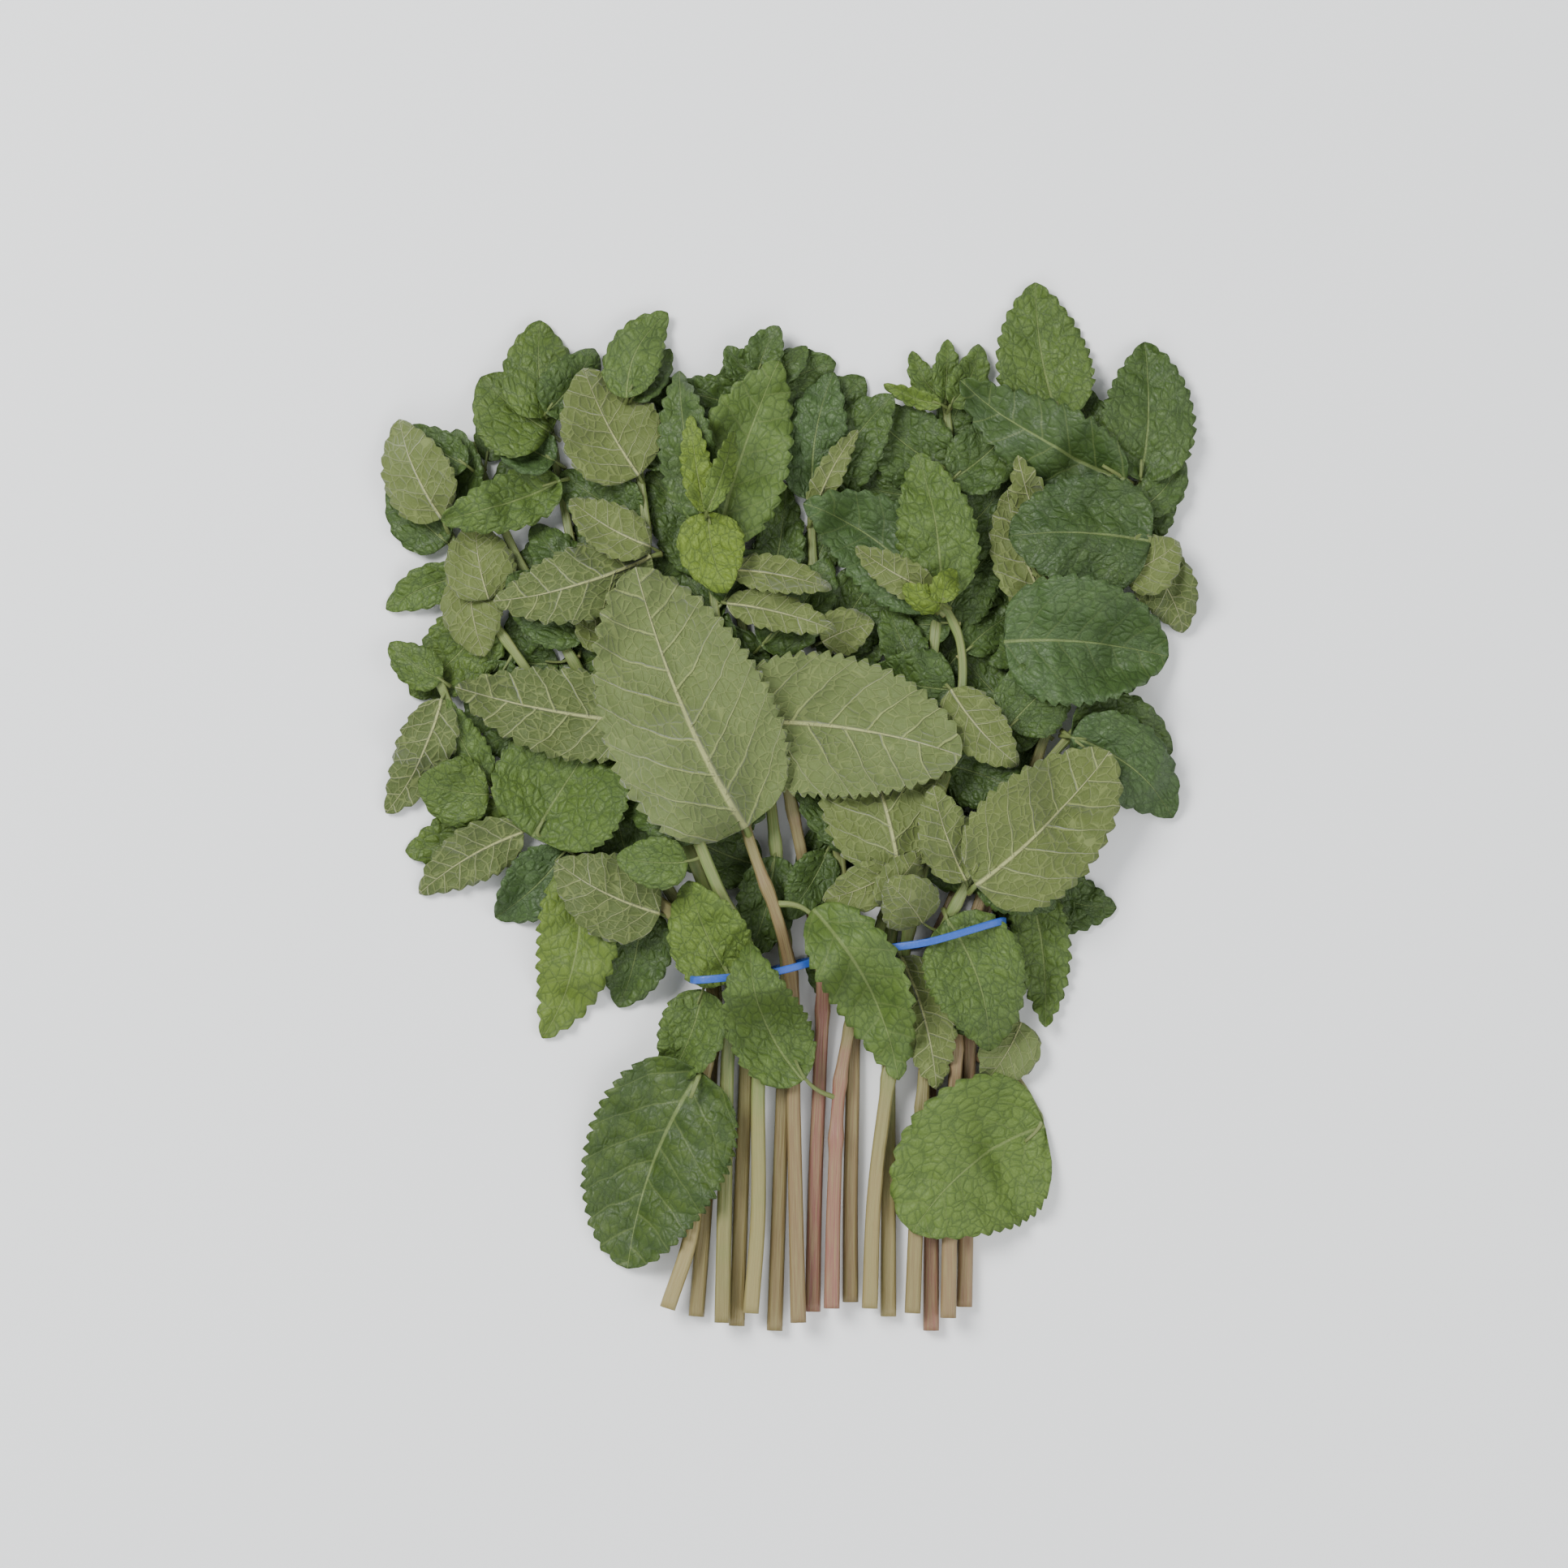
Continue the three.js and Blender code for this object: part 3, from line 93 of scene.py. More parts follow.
# %% A pale table
TABLE_WIDE = 4.0
TABLE_TOP = -0.0002  # a hair low, so that no underside shares its plane
PAPER_COLOUR, PAPER_ROUGH = (0.88, 0.89, 0.89, 1.0), 0.7
bpy.ops.object.select_all(action="DESELECT")
bpy.ops.mesh.primitive_plane_add(size=TABLE_WIDE, location=(0.0, 0.0, TABLE_TOP))
table = bpy.context.active_object
table.name = "pale_table"
paper = bpy.data.materials.new("pale_paper")
paper.use_nodes = True
paper_skin = paper.node_tree.nodes["Principled BSDF"]
paper_skin.inputs["Base Color"].default_value = PAPER_COLOUR
paper_skin.inputs["Roughness"].default_value = PAPER_ROUGH
table.data.materials.append(paper)
print("table:", [round(side, 2) for side in table.dimensions])


# %% Three soft lights
LIGHTS = {  # place, size, power
    "window_left": ((-0.7, 0.55, 1.1), 0.6, 25.0),
    "fill_right": ((0.9, -0.3, 1.0), 0.9, 8.0),
    "fill_front": ((0.0, -0.9, 0.9), 0.8, 5.0),
}
ROOM_COLOUR, ROOM_STRENGTH = (0.93, 0.96, 1.0, 1.0), 0.62


def soft_light(name, place, size, power):
    """A square light that faces the middle of the bunch."""
    light_data = bpy.data.lights.new(name, "AREA")
    light_data.shape = "SQUARE"
    light_data.size = size
    light_data.energy = power
    light = bpy.data.objects.new(name, light_data)
    light.location = place
    light.rotation_euler = (Vector((0.0, 0.0, 0.0)) - Vector(place)).to_track_quat("-Z", "Y").to_euler()
    bpy.context.scene.collection.objects.link(light)


for light_name, settings in LIGHTS.items():
    soft_light(light_name, *settings)
world = bpy.data.worlds.new("soft_room")
bpy.context.scene.world = world
world.use_nodes = True
room = world.node_tree.nodes["Background"]
room.inputs["Color"].default_value = ROOM_COLOUR
room.inputs["Strength"].default_value = ROOM_STRENGTH

# %% [markdown]
# ## The sprigs, as a table
# Each sprig is a stem's route from its cut end to its growing tip, and its leaves. A leaf is its
# base, its tip, its width, a sideways bend, which face of it is up, and its tone. The routes and
# places are those of the solids, in plan, so every copy falls on its own blade. Pairs are hidden
# leaves that are placed by rule: opposite one another, smaller towards the tip.

# %% Routes, leaves and tones
UP, DOWN = "upper face up", "underside up"
SPRIGS = {
    "sprig_01_back_left": {
        "stem": [(-10, -108), (-9, -80), (-8, -50), (-8, -34), (-20, -8), (-36, 18), (-50, 42),
                 (-60, 62), (-66, 78)],
        "pairs": (0.52, 0.96, 3, 26, 12),
        "leaves": [],
    },
    "sprig_02_back_middle": {
        "stem": [(-2, -109), (-1, -80), (0, -50), (0.5, -34), (-2, -5), (-6, 25), (-12, 55), (-17, 82)],
        "pairs": (0.5, 0.97, 3, 28, 23),
        "leaves": [
            (-14, 50, -29, 72, 16, -0.05, UP, "dark"),
            (-2, -9, -8, -31, 13, 0.05, UP, "dark"),
        ],
    },
    "sprig_03_back_right": {
        "stem": [(31, -109), (31, -80), (30.5, -50), (30.5, -33), (40, -8), (52, 18), (62, 42),
                 (68, 64), (70, 82)],
        "pairs": (0.5, 0.96, 3, 28, 37),
        "leaves": [],
    },
    "sprig_04_back_top": {
        "stem": [(22, -106), (22, -80), (22, -55), (22, -33), (25, -5), (30, 22), (33, 50), (35, 74),
                 (34, 88)],
        "pairs": (0.5, 0.68, 2, 26, 41),
        "leaves": [
            (33, 40, 46, 57, 15, 0.05, UP, "dark"),
            (34, 56, 48, 72, 15, -0.05, UP, "dark"),
            (35, 72, 17, 86, 17, 0.05, UP, "dark"),
            (35, 70, 50, 84, 14, -0.05, UP, "dark"),
            (34, 87, 27, 97.5, 6, 0.1, UP, "mid"),
            (34, 87, 34.5, 100, 6, 0, UP, "mid"),
            (35, 86, 41, 99, 8, -0.1, UP, "mid"),
            (33, 86, 21, 90.5, 4, 0.05, UP, "bright"),
        ],
    },
    "sprig_05_tall_middle": {
        "stem": [(6, -105), (6.5, -80), (7.5, -55), (8, -34), (5, -15), (0, 10), (-4, 40), (-5, 65),
                 (-6, 82), (-5.5, 93)],
        "leaves": [
            (-4, 27, -24, 33, 18, -0.05, UP, "dark"),
            (-4, 44, 0.5, 69, 11, -0.03, UP, "dark"),
            (-6.5, 66, -23, 75, 13, -0.06, UP, "dark"),
            (-6, 84, -25, 89, 10, -0.05, UP, "dark"),
            (-5.5, 92, -12, 98.5, 7, 0.1, UP, "dark"),
            (-5, 92, 4.8, 98.5, 7, -0.1, UP, "dark"),
            (-5.5, 93, -1, 102.5, 8, 0.05, UP, "dark"),
        ],
    },
    "sprig_06_right_tall": {
        "stem": [(38, -104), (38.5, -80), (39, -55), (40, -32), (42.5, -20), (48, -6), (56, 20),
                 (64, 42), (72, 58), (74, 70)],
        "shoots": [
            [(66, 46), (61, 62), (58, 80)],
            [(39.7, -50), (48, -55), (54, -64)],
        ],
        "leaves": [
            (49, -7, 60, -22, 13, 0.05, UP, "dark"),
            (55, 17, 37, 34, 20, 0.05, UP, "dark"),
            (73, 58, 82.5, 70, 12, 0.05, UP, "dark"),
            (75, 64, 84, 75, 9, -0.08, UP, "dark"),
            (75, 70, 76, 99.5, 20, -0.04, UP, "dark"),
            (58, 82, 53, 112, 20, 0.04, UP, "mid"),
            (72, 70, 37, 91, 17, 0.05, UP, "shaded"),
            (50, -44, 42, -57, 13, 0.05, DOWN, "plain"),
            (51, -14, 55, -45, 12, 0.05, UP, "mid"),
            (55, -66, 27, -88, 33, -0.1, UP, "light"),
        ],
    },
    "sprig_07_left_tall": {
        "stem": [(-18.5, -106), (-16.5, -80), (-15.5, -55), (-15, -34), (-25, -15), (-40, 8), (-54, 30),
                 (-65, 46), (-71, 60)],
        "leaves": [
            (-62, 42, -79, 25, 16, 0.05, UP, "olive"),
            (-71, 57, -83, 70, 13, 0.05, UP, "dark"),
            (-68, 50, -84, 43, 9, -0.05, UP, "mid"),
            (-66, 50, -63, 33, 13, -0.05, DOWN, "warm"),
            (-62, 45, -65, 61.5, 15, 0.04, DOWN, "warm"),
            (-72, 62, -69, 81, 13, -0.06, UP, "dark"),
            (-72, 62, -81, 83, 15, 0.05, DOWN, "warm"),
        ],
    },
    "sprig_08_middle": {
        "stem": [(14, -103), (14, -80), (14.5, -55), (14.5, -34), (12, -12), (10, 10), (8, 35), (6, 55),
                 (6, 66), (8, 78)],
        "leaves": [
            (9.5, 33, 22, 53, 16, 0.05, UP, "dark"),
            (9, -8, 0, -22, 10, 0.05, UP, "dark"),
            (8, 36, 19, 40, 10, 0.05, DOWN, "warm"),
            (7, 66, 23, 88, 15, 0.05, UP, "dark"),
            (6, 66, 10.5, 93, 14, 0.06, UP, "blue"),
            (6, 62, 15.5, 80.5, 6, 0.05, DOWN, "warm"),
        ],
    },
    "sprig_09_right": {
        "stem": [(34.5, -106), (35, -80), (36, -55), (37, -32), (42, -15), (46, 8), (48, 28), (58, 44),
                 (70, 52), (77, 57)],
        "leaves": [
            (47, 18, 61, 30, 16, 0.05, UP, "dark"),
            (56, 42, 47, 68, 14, 0.05, DOWN, "warm"),
            (74, 54, 84, 38, 13, 0.1, DOWN, "deep"),
            (71, 50, 83, 57, 13, -0.05, DOWN, "warm"),
            (60, 46, 49, 75, 11, 0.03, DOWN, "warm"),
            (77, 57, 47, 58, 25, -0.04, UP, "shaded"),
            (46, 36, 81, 33, 27, 0.04, UP, "blue"),
            (36, -46, 40, -20, 17, -0.1, UP, "dark"),
        ],
    },
    "sprig_10_middle_right": {
        "stem": [(18, -104), (19, -80), (22, -55), (25, -31), (29, -12), (33, 5), (37, 22), (37, 36),
                 (33, 45)],
        "leaves": [
            (34, 10, 50, 4, 15, 0.05, UP, "dark"),
            (36, 26, 18, 30, 16, 0.05, UP, "dark"),
            (35, 26, 49, 10, 12, -0.05, DOWN, "warm"),
            (32, 43, 4, 65, 20, -0.1, UP, "blue"),
            (33, 45, 28, 76, 17, -0.04, UP, "mid"),
            (32, 46, 15, 56, 8, 0.04, DOWN, "warm"),
            (33, 44, 25, 48, 6, 0.1, UP, "young"),
            (33, 44, 36, 51, 6, 0.1, UP, "young"),
            (24.5, -30, 32, -58, 13, 0.05, DOWN, "warm"),
        ],
    },
    "sprig_11_left_low": {
        "stem": [(-24.5, -104), (-19.5, -88), (-17.5, -60), (-15, -40), (-16.4, -30), (-27, -18),
                 (-40, -10), (-52, -3), (-62, 8), (-70, 22), (-75, 34)],
        "leaves": [
            (-62, 6, -71, 24, 9, 0.05, UP, "mid"),
            (-56, 0, -80, -8, 14, 0.05, UP, "olive"),
            (-30, -16, -36, 6, 16, 0.05, UP, "dark"),
            (-72, 28, -83, 36, 9, 0.05, UP, "olive"),
            (-72, 24, -84, 0, 12, 0.06, DOWN, "deep"),
            (-62, 4, -77, 7, 15, 0.05, UP, "olive"),
            (-55, -4, -77, -17, 12, -0.05, DOWN, "deep"),
            (-46, -8, -61, -22, 14, 0.05, UP, "blue"),
            (-30, -20, -35, -41, 15, 0.05, UP, "dark"),
            (-44, -10, -51, -47.5, 17, 0.1, UP, "lime"),
            (-26, -21, -48, -10, 18, 0.05, DOWN, "deep"),
            (-53, -5, -36, 20, 29, 0.02, UP, "mid"),
            (-17, -37, -25, -57, 14, 0.05, UP, "mid"),
            (-17.5, -54, -33, -96, 30, -0.06, UP, "waxy"),
        ],
    },
    "sprig_12_top_left": {
        "stem": [(-13, -107), (-12.5, -80), (-12, -55), (-11.3, -34), (-18, -12), (-32, 20), (-42, 45),
                 (-47, 68), (-50, 84)],
        "leaves": [
            (-40, 40, -58, 50, 17, 0.05, UP, "dark"),
            (-43, 50, -53, 61, 10, 0.05, UP, "dark"),
            (-38, 34, -40, 48.5, 9, 0.05, DOWN, "warm"),
            (-47, 70, -72, 61.5, 12, 0.04, UP, "mid"),
            (-48, 74, -62, 83, 11, 0.05, UP, "blue"),
            (-49, 80, -64, 92, 20, 0.04, UP, "olive"),
            (-50, 83, -51.5, 104, 16, 0.04, UP, "olive"),
            (-50, 84, -40, 98, 12, -0.05, UP, "dark"),
        ],
    },
    "sprig_13_short": {
        "stem": [(10, -104), (10.5, -80), (12, -55), (17, -33), (22, -18), (24, -6), (23, 6)],
        "leaves": [
            (23, -12, 8, -18, 10, 0.05, DOWN, "warm"),
            (21, -20, 29, -8, 9, 0.05, DOWN, "warm"),
            (24, -12, 12, 25, 26, -0.04, DOWN, "warm"),
            (4, -56, -7, -27, 17, 0.1, UP, "mid"),
        ],
    },
    "sprig_14_right_low": {
        "stem": [(27, -105), (28, -80), (29.5, -55), (31, -31.5), (37.5, -16), (42, -8), (50, 4),
                 (58, 14), (64, 20)],
        "leaves": [
            (60, 16, 82, 13, 20, 0.05, UP, "dark"),
            (60, 16, 82, -1, 18, 0.1, UP, "blue"),
            (40, -13, 57, -20, 12, 0.05, UP, "dark"),
            (38, -14, 31, 6, 12, 0.04, DOWN, "warm"),
            (29, -23, 21, -14, 13, -0.05, DOWN, "warm"),
            (34, -22, 43, -50, 21, 0.08, UP, "mid"),
            (40, -15, 68, 13, 26, -0.04, DOWN, "warm"),
        ],
    },
    "sprig_15_upper_left": {
        "stem": [(-7, -105), (-5.5, -85), (-5.5, -60), (-5.5, -34), (-14, -15), (-22, 5), (-27, 20),
                 (-29, 45), (-29, 60), (-31, 75), (-33, 88)],
        "leaves": [
            (-30, 62, -47, 72, 14, 0.05, UP, "dark"),
            (-31, 74, -14, 84, 12, 0.05, UP, "dark"),
            (-28, 54, -61, 44.5, 16, 0.05, DOWN, "deep"),
            (-28, 56, -45, 66, 11, 0.05, DOWN, "warm"),
            (-30.5, 71, -42, 93.5, 21, 0.04, DOWN, "warm"),
            (-32, 87, -24, 98, 7, -0.05, UP, "dark"),
            (-33, 87, -24.5, 105.5, 12, 0.12, UP, "mid"),
            (-28, 19, -69, 26.5, 19, 0.03, DOWN, "deep"),
            (-11, -35, -20, -14, 17, 0.04, UP, "bright"),
            (-20, -10, -35, -9, 11, 0.04, UP, "mid"),
        ],
    },
    "sprig_16_hero": {
        "stem": [(3, -107), (2.5, -85), (2, -60), (1.5, -34), (-2, -20), (-5, -12), (-8, -3), (-11, 12),
                 (-13, 30), (-15, 48), (-16, 64)],
        "leaves": [
            (-11, 2, -34, 2, 15, 0.05, UP, "dark"),
            (-9, -1, -33, 13, 10, 0.05, UP, "mid"),
            (-12, 44, 11, 38, 8, 0.04, DOWN, "warm"),
            (-11, 51, 10, 47, 8, 0.04, DOWN, "warm"),
            (-11, 19, 37, 12, 30, 0.05, DOWN, "plain"),
            (-8, -3, -31, 51.5, 36, 0.04, DOWN, "plain"),
            (-13, 44, -3, 54, 11, 0.1, UP, "dark"),
            (-14, 56, -1, 95, 21, 0.03, UP, "mid"),
            (-17, 61, -22, 93, 12, 0.03, UP, "dark"),
            (-16, 63, -12, 46, 14, -0.05, UP, "young"),
            (-16.5, 63, -19.5, 83, 6.5, 0.02, UP, "young"),
            (-16, 63, -10.5, 80, 5, -0.03, UP, "bright"),
            (6, -20, 24, -56, 17, 0.08, UP, "mid"),
        ],
    },
}
print("sprigs:", len(SPRIGS), "leaves by hand:", sum(len(s["leaves"]) for s in SPRIGS.values()))

# %% [markdown]
# ## Routes and rules
# A stem's route is a smooth curve through its points. It could be a Blender curve, but then a share
# of its length would mean another place than in the solids. So it is the centripetal Catmull-Rom
# curve that they use, which never loops between close points, measured off by arc length. The
# seeded draw and the rule for hidden pairs repeat theirs too.


# %% A smooth route through points
def cubic(first, second, out, into, t):
    """A curve from first to second that leaves at the slope out and arrives at the slope into."""
    squared = -3 * first + 3 * second - 2 * out - into
    cubed = 2 * first - 2 * second + out + into
    return first + out * t + (squared * t * t + cubed * t ** 3)


class Route:
    STEPS = 200
    NEAR = 0.0001  # how far ahead and back the heading is measured

    def __init__(self, points):
        self.points = [np.array(point, float) for point in points]
        self.chain = np.array([self.at(k / self.STEPS) for k in range(self.STEPS + 1)])
        pieces = np.linalg.norm(np.diff(self.chain, axis=0), axis=1)
        self.run = np.concatenate([[0.0], np.cumsum(pieces)])
        self.length = self.run[-1]

    def at(self, t):
        count = len(self.points)
        place = (count - 1) * t
        k = min(int(math.floor(place)), count - 2)
        p1, p2 = self.points[k], self.points[k + 1]
        p0 = self.points[k - 1] if k > 0 else 2 * p1 - p2
        p3 = self.points[k + 2] if k + 2 < count else 2 * p2 - p1
        d0, d1, d2 = (math.dist(a, b) ** 0.5 for a, b in ((p0, p1), (p1, p2), (p2, p3)))
        out = ((p1 - p0) / d0 - (p2 - p0) / (d0 + d1) + (p2 - p1) / d1) * d1
        into = ((p2 - p1) / d1 - (p3 - p1) / (d1 + d2) + (p3 - p2) / d2) * d1
        return cubic(p1, p2, out, into, place - k)

    def share(self, s):
        return float(np.interp(s * self.length, self.run, np.linspace(0.0, 1.0, self.STEPS + 1)))

    def spot(self, s):
        return self.at(self.share(s))

    def heading(self, s):
        t = self.share(s)
        ahead = self.at(min(t + self.NEAR, 1.0)) - self.at(max(t - self.NEAR, 0.0))
        return ahead / np.linalg.norm(ahead)


print("one stem:", round(Route(SPRIGS["sprig_16_hero"]["stem"]).length, 1), "mm long")

# %% A seeded draw, and the rule for hidden leaf pairs
DRAW_FACTOR, DRAW_RANGE = 16807, 2147483647
PAIR_ANGLES, PAIR_TURN = (1.25, 0.5), (0.8, 1.15)  # radians from the stem, and their spread
PAIR_LENGTHS, PAIR_GROWTH = (1, 0.6), (0.85, 1.1)  # shares of the longest leaf, and their spread
PAIR_STALK, PAIR_WIDTH, PAIR_BEND = 4, 0.58, 0.06


def drawer(seed):
    state = seed

    def draw():
        nonlocal state
        state = (state * DRAW_FACTOR) % DRAW_RANGE
        return state / DRAW_RANGE

    return draw


def mix(a, b, t):
    return a + (b - a) * t


def leaf_pairs(route, first, last, count, longest, seed):
    """Opposite leaves between two shares of a stem, as rows like those of the table."""
    draw = drawer(seed)
    leaves = []
    for pair in range(count):
        share = pair / (count - 1)
        spot = route.spot(mix(first, last, share))
        heading = route.heading(mix(first, last, share))
        for side in (1, -1):
            angle = math.atan2(heading[1], heading[0])
            angle += side * mix(*PAIR_ANGLES, share) * mix(*PAIR_TURN, draw())
            length = longest * mix(*PAIR_LENGTHS, share) * mix(*PAIR_GROWTH, draw())
            along = np.array([math.cos(angle), math.sin(angle)])
            base = spot + along * PAIR_STALK
            tip = base + along * length
            draw()  # the rule of the solids draws a third number here, for the height
            leaves.append((*base, *tip, length * PAIR_WIDTH, PAIR_BEND * side, UP, "dark"))
    return leaves


print("drawn:", [round(drawer(5)(), 3)])

# %% [markdown]
# ## Reading the laid blades
# Every corner of a solid's blade sits at a known place in plan, so its height is read from the
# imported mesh: the corners above one another there are the two faces of the blade, and the blade's
# middle runs between them. A corner that is buried in a stem or another leaf has no height of its
# own, and takes the mean of the corners beside it. A ray from above would find the top leaf only,
# and most blades here lie under others.

# %% Heights of the solids, by place
from mathutils.kdtree import KDTree

SAME_PLACE = 0.02
BLADE_MOST, BASE_MOST, STEM_MOST = 1.6, 3.2, 4.2  # corners further apart aren't one piece's faces
FOOT_LONG = 0.2


class Heights:
    """Looks up the heights, in mm, of a solid's corners above a place in plan."""

    def __init__(self, node):
        count = len(node.data.vertices)
        spots = np.empty(count * 3)
        node.data.vertices.foreach_get("co", spots)
        self.spots = spots.reshape(-1, 3) / MM
        self.tree = KDTree(count)
        for k, (x, y, _) in enumerate(self.spots):
            self.tree.insert((x, y, 0.0), k)
        self.tree.balance()

    def at(self, x, y):
        found = self.tree.find_range((x, y, 0.0), SAME_PLACE)
        return sorted({round(float(self.spots[k][2]), 2) for _, k, _ in found})

    def middle(self, x, y, thickest=BLADE_MOST):
        """Half way between the lowest and highest corner there, or None if they are too far apart."""
        found = self.at(x, y)
        if len(found) < 2 or found[-1] - found[0] > thickest:
            return None
        return (found[0] + found[-1]) / 2


heights = {name: Heights(frame["nodes"][name]) for name in SPRIGS}
foot_route = Route(SPRIGS["sprig_02_back_middle"]["stem"])
foot_spots = heights["sprig_02_back_middle"].spots
foot = foot_spots[foot_spots[:, 1] < foot_spots[:, 1].min() + FOOT_LONG]
SHIFT = foot.mean(axis=0)[:2] - foot_route.points[0]
print("from the table of places to the frame:", SHIFT.round(2), "mm, from", len(foot), "corners")

# %% [markdown]
# ## A blade's plan
# A mint blade is egg-shaped, widest nearer its base, with a pointed tip. The outline is a share of
# the half width at each share of the length. The midrib bows to one side, and the rows stay square
# to it.

# %% Outline and plan of a blade
LEAF_WIDEST = 0.38
BROAD_LEAF, BROAD_TAPER, LEAF_TAPER = 24, 0.95, 1.22
OUTLINE_PEAK = LEAF_WIDEST ** LEAF_WIDEST * (1 - LEAF_WIDEST) ** (1 - LEAF_WIDEST)


class Leaf:
    def __init__(self, row):
        x0, y0, x1, y1, self.width, self.bend, self.face, self.tone = row
        self.base = np.array([x0, y0], float) + SHIFT
        self.tip = np.array([x1, y1], float) + SHIFT
        self.length = float(np.linalg.norm(self.tip - self.base))
        self.along = (self.tip - self.base) / self.length


def outline(leaf, u):
    """Broad leaves are blunt, the others come to a sharper tip."""
    taper = BROAD_TAPER if leaf.width >= BROAD_LEAF else LEAF_TAPER
    return (u ** LEAF_WIDEST * (1 - u) ** (1 - LEAF_WIDEST) / OUTLINE_PEAK) ** taper


def on_plan(leaf, u, sideways):
    """Places at shares u along the blade and sideways millimetres to the left of the midrib."""
    bow = 4 * leaf.bend * u * (1 - u)
    slope = 4 * leaf.bend * (1 - 2 * u)
    across = sideways / (np.hypot(1, slope) * leaf.length)
    ahead = (leaf.tip - leaf.base)[:, None]
    left = np.array([-ahead[1], ahead[0]])
    return leaf.base[:, None] + ahead * (u - slope * across) + left * (bow + across)


largest = Leaf(SPRIGS["sprig_16_hero"]["leaves"][5])
print("largest blade:", round(largest.length, 1), "by", largest.width, "mm")


# %% Fill the gaps in a grid of heights
def fill_gaps(grid):
    """Gives each corner with no height the mean of those beside it."""
    if np.isnan(grid).all():
        raise ValueError("the solid has no blade at this leaf's place")
    while np.isnan(grid).any():
        padded = np.pad(grid, 1, constant_values=np.nan)
        beside = np.array([padded[:-2, 1:-1], padded[2:, 1:-1], padded[1:-1, :-2], padded[1:-1, 2:]])
        known = (~np.isnan(beside)).sum(axis=0)
        sums = np.nansum(beside, axis=0)
        fill = np.isnan(grid) & (known > 0)
        grid[fill] = sums[fill] / known[fill]
    return grid


print("a filled gap:", fill_gaps(np.array([[1.0, np.nan, 3.0]])))

# %% A blade's middle, from its solid
LEAF_ROW, ROWS_FEWEST, ROWS_MOST = 5.5, 4, 10
FIRST_ROW, ROWS_SPAN = 0.09, 0.83
TOOTH_OUT, TOOTH_IN, TOOTH_LEAN, TOOTH_LAST = 1.07, 0.93, 0.35, 0.985


def blade_middle(leaf, solid):
    """The rows' shares of the length in each column, the columns, and the middle's heights there."""
    rows = min(ROWS_MOST, max(ROWS_FEWEST, math.floor(leaf.length / LEAF_ROW + 0.5)))
    columns = 2 if leaf.width >= BROAD_LEAF else 1
    across = [(columns - k) / columns for k in range(2 * columns + 1)]
    shares = np.zeros((rows + 1, len(across)))
    grid = np.full((rows + 1, len(across)), np.nan)
    for row in range(1, rows):
        u = FIRST_ROW + ROWS_SPAN * (row - 1) / (rows - 2)
        tooth = row % 2 == 0
        for k, v in enumerate(across):
            edge = abs(v) == 1
            place = min(u + (TOOTH_LEAN / rows if edge and tooth else 0), TOOTH_LAST)
            reach = (TOOTH_OUT if tooth else TOOTH_IN) if edge else 1
            sideways = v * reach * leaf.width * 0.5 * outline(leaf, place)
            x, y = on_plan(leaf, np.array([place]), np.array([sideways]))[:, 0]
            shares[row, k] = place
            grid[row, k] = solid.middle(x, y) or np.nan
    shares[rows] = 1.0
    grid[0] = solid.middle(*leaf.base, BASE_MOST) or np.nan
    grid[rows] = solid.middle(*leaf.tip) or np.nan
    return shares, across, fill_gaps(grid)


largest_heights = blade_middle(largest, heights["sprig_16_hero"])[2]
print("heights along the largest blade:", largest_heights[:, 2].round(1))

# %% [markdown]
# ## One blank leaf
# All mint leaves are one shape at different sizes: a thin blade with saw teeth that lean towards
# the tip. A picture on a flat card would lose the teeth from the side, so the blade is modelled,
# once, as a flat blank: a grid given its thickness. Each copy is bent over its place. Teeth keep
# their size while leaves differ, so there are four blanks with more teeth and more rows for longer
# leaves, and each tooth takes four rows.

# %% Blank leaves: a grid with thickness
ROWS_PER_TOOTH = 4
BLANK_SIZE = 2.0  # across, along and through, so places on a blank run from -1 to 1
COLUMNS = {5: 8, 8: 12, 12: 16, 20: 24}  # for each number of teeth along one edge


def blank_leaf(teeth, columns):
    rows = teeth * ROWS_PER_TOOTH
    bpy.ops.object.select_all(action="DESELECT")
    bpy.ops.mesh.primitive_grid_add(x_subdivisions=columns, y_subdivisions=rows, size=BLANK_SIZE)
    blank = bpy.context.active_object
    blank.name = f"blank_leaf_{teeth}_teeth"
    thickness = blank.modifiers.new("thickness", "SOLIDIFY")
    thickness.thickness = BLANK_SIZE
    thickness.offset = 0.0
    bpy.ops.object.modifier_apply(modifier=thickness.name)
    bpy.ops.object.shade_smooth()
    return blank


BLANKS = {teeth: blank_leaf(teeth, columns) for teeth, columns in COLUMNS.items()}
print("blank leaves:", {teeth: len(blank.data.vertices) for teeth, blank in BLANKS.items()})

# %% [markdown]
# ## Relief of a blade
# The blade is quilted: between the veins it puffs up on its upper face, and the veins stand out
# on the underside. The side veins leave the midrib in turns, left and right, and curve towards the
# tip. The relief could be a bump in the finish alone, but then it would catch no light at the rim
# and in side views. So one formula shapes the mesh here and draws the veins in the finish later,
# and a line always runs along its own groove.

# %% Where the side veins run
VEIN_SLANT, VEIN_CURVE = 0.62, 0.016
VEINS_PER_LEAF, VEINS_CLOSEST, VEINS_WIDEST = 6.2, 2.8, 8.0
LEFT_EARLIER = 0.45  # how much nearer the base the left veins leave the midrib, in spacings
VEIN_LEAN = 0.8  # turns a way along the leaf into one square to the slanted vein
SIDE_GROOVE, MIDRIB_GROOVE = 0.95, 1.3  # half widths of the grooves in mm


def vein_spacing(length):
    return np.clip(length / VEINS_PER_LEAF, VEINS_CLOSEST, VEINS_WIDEST)


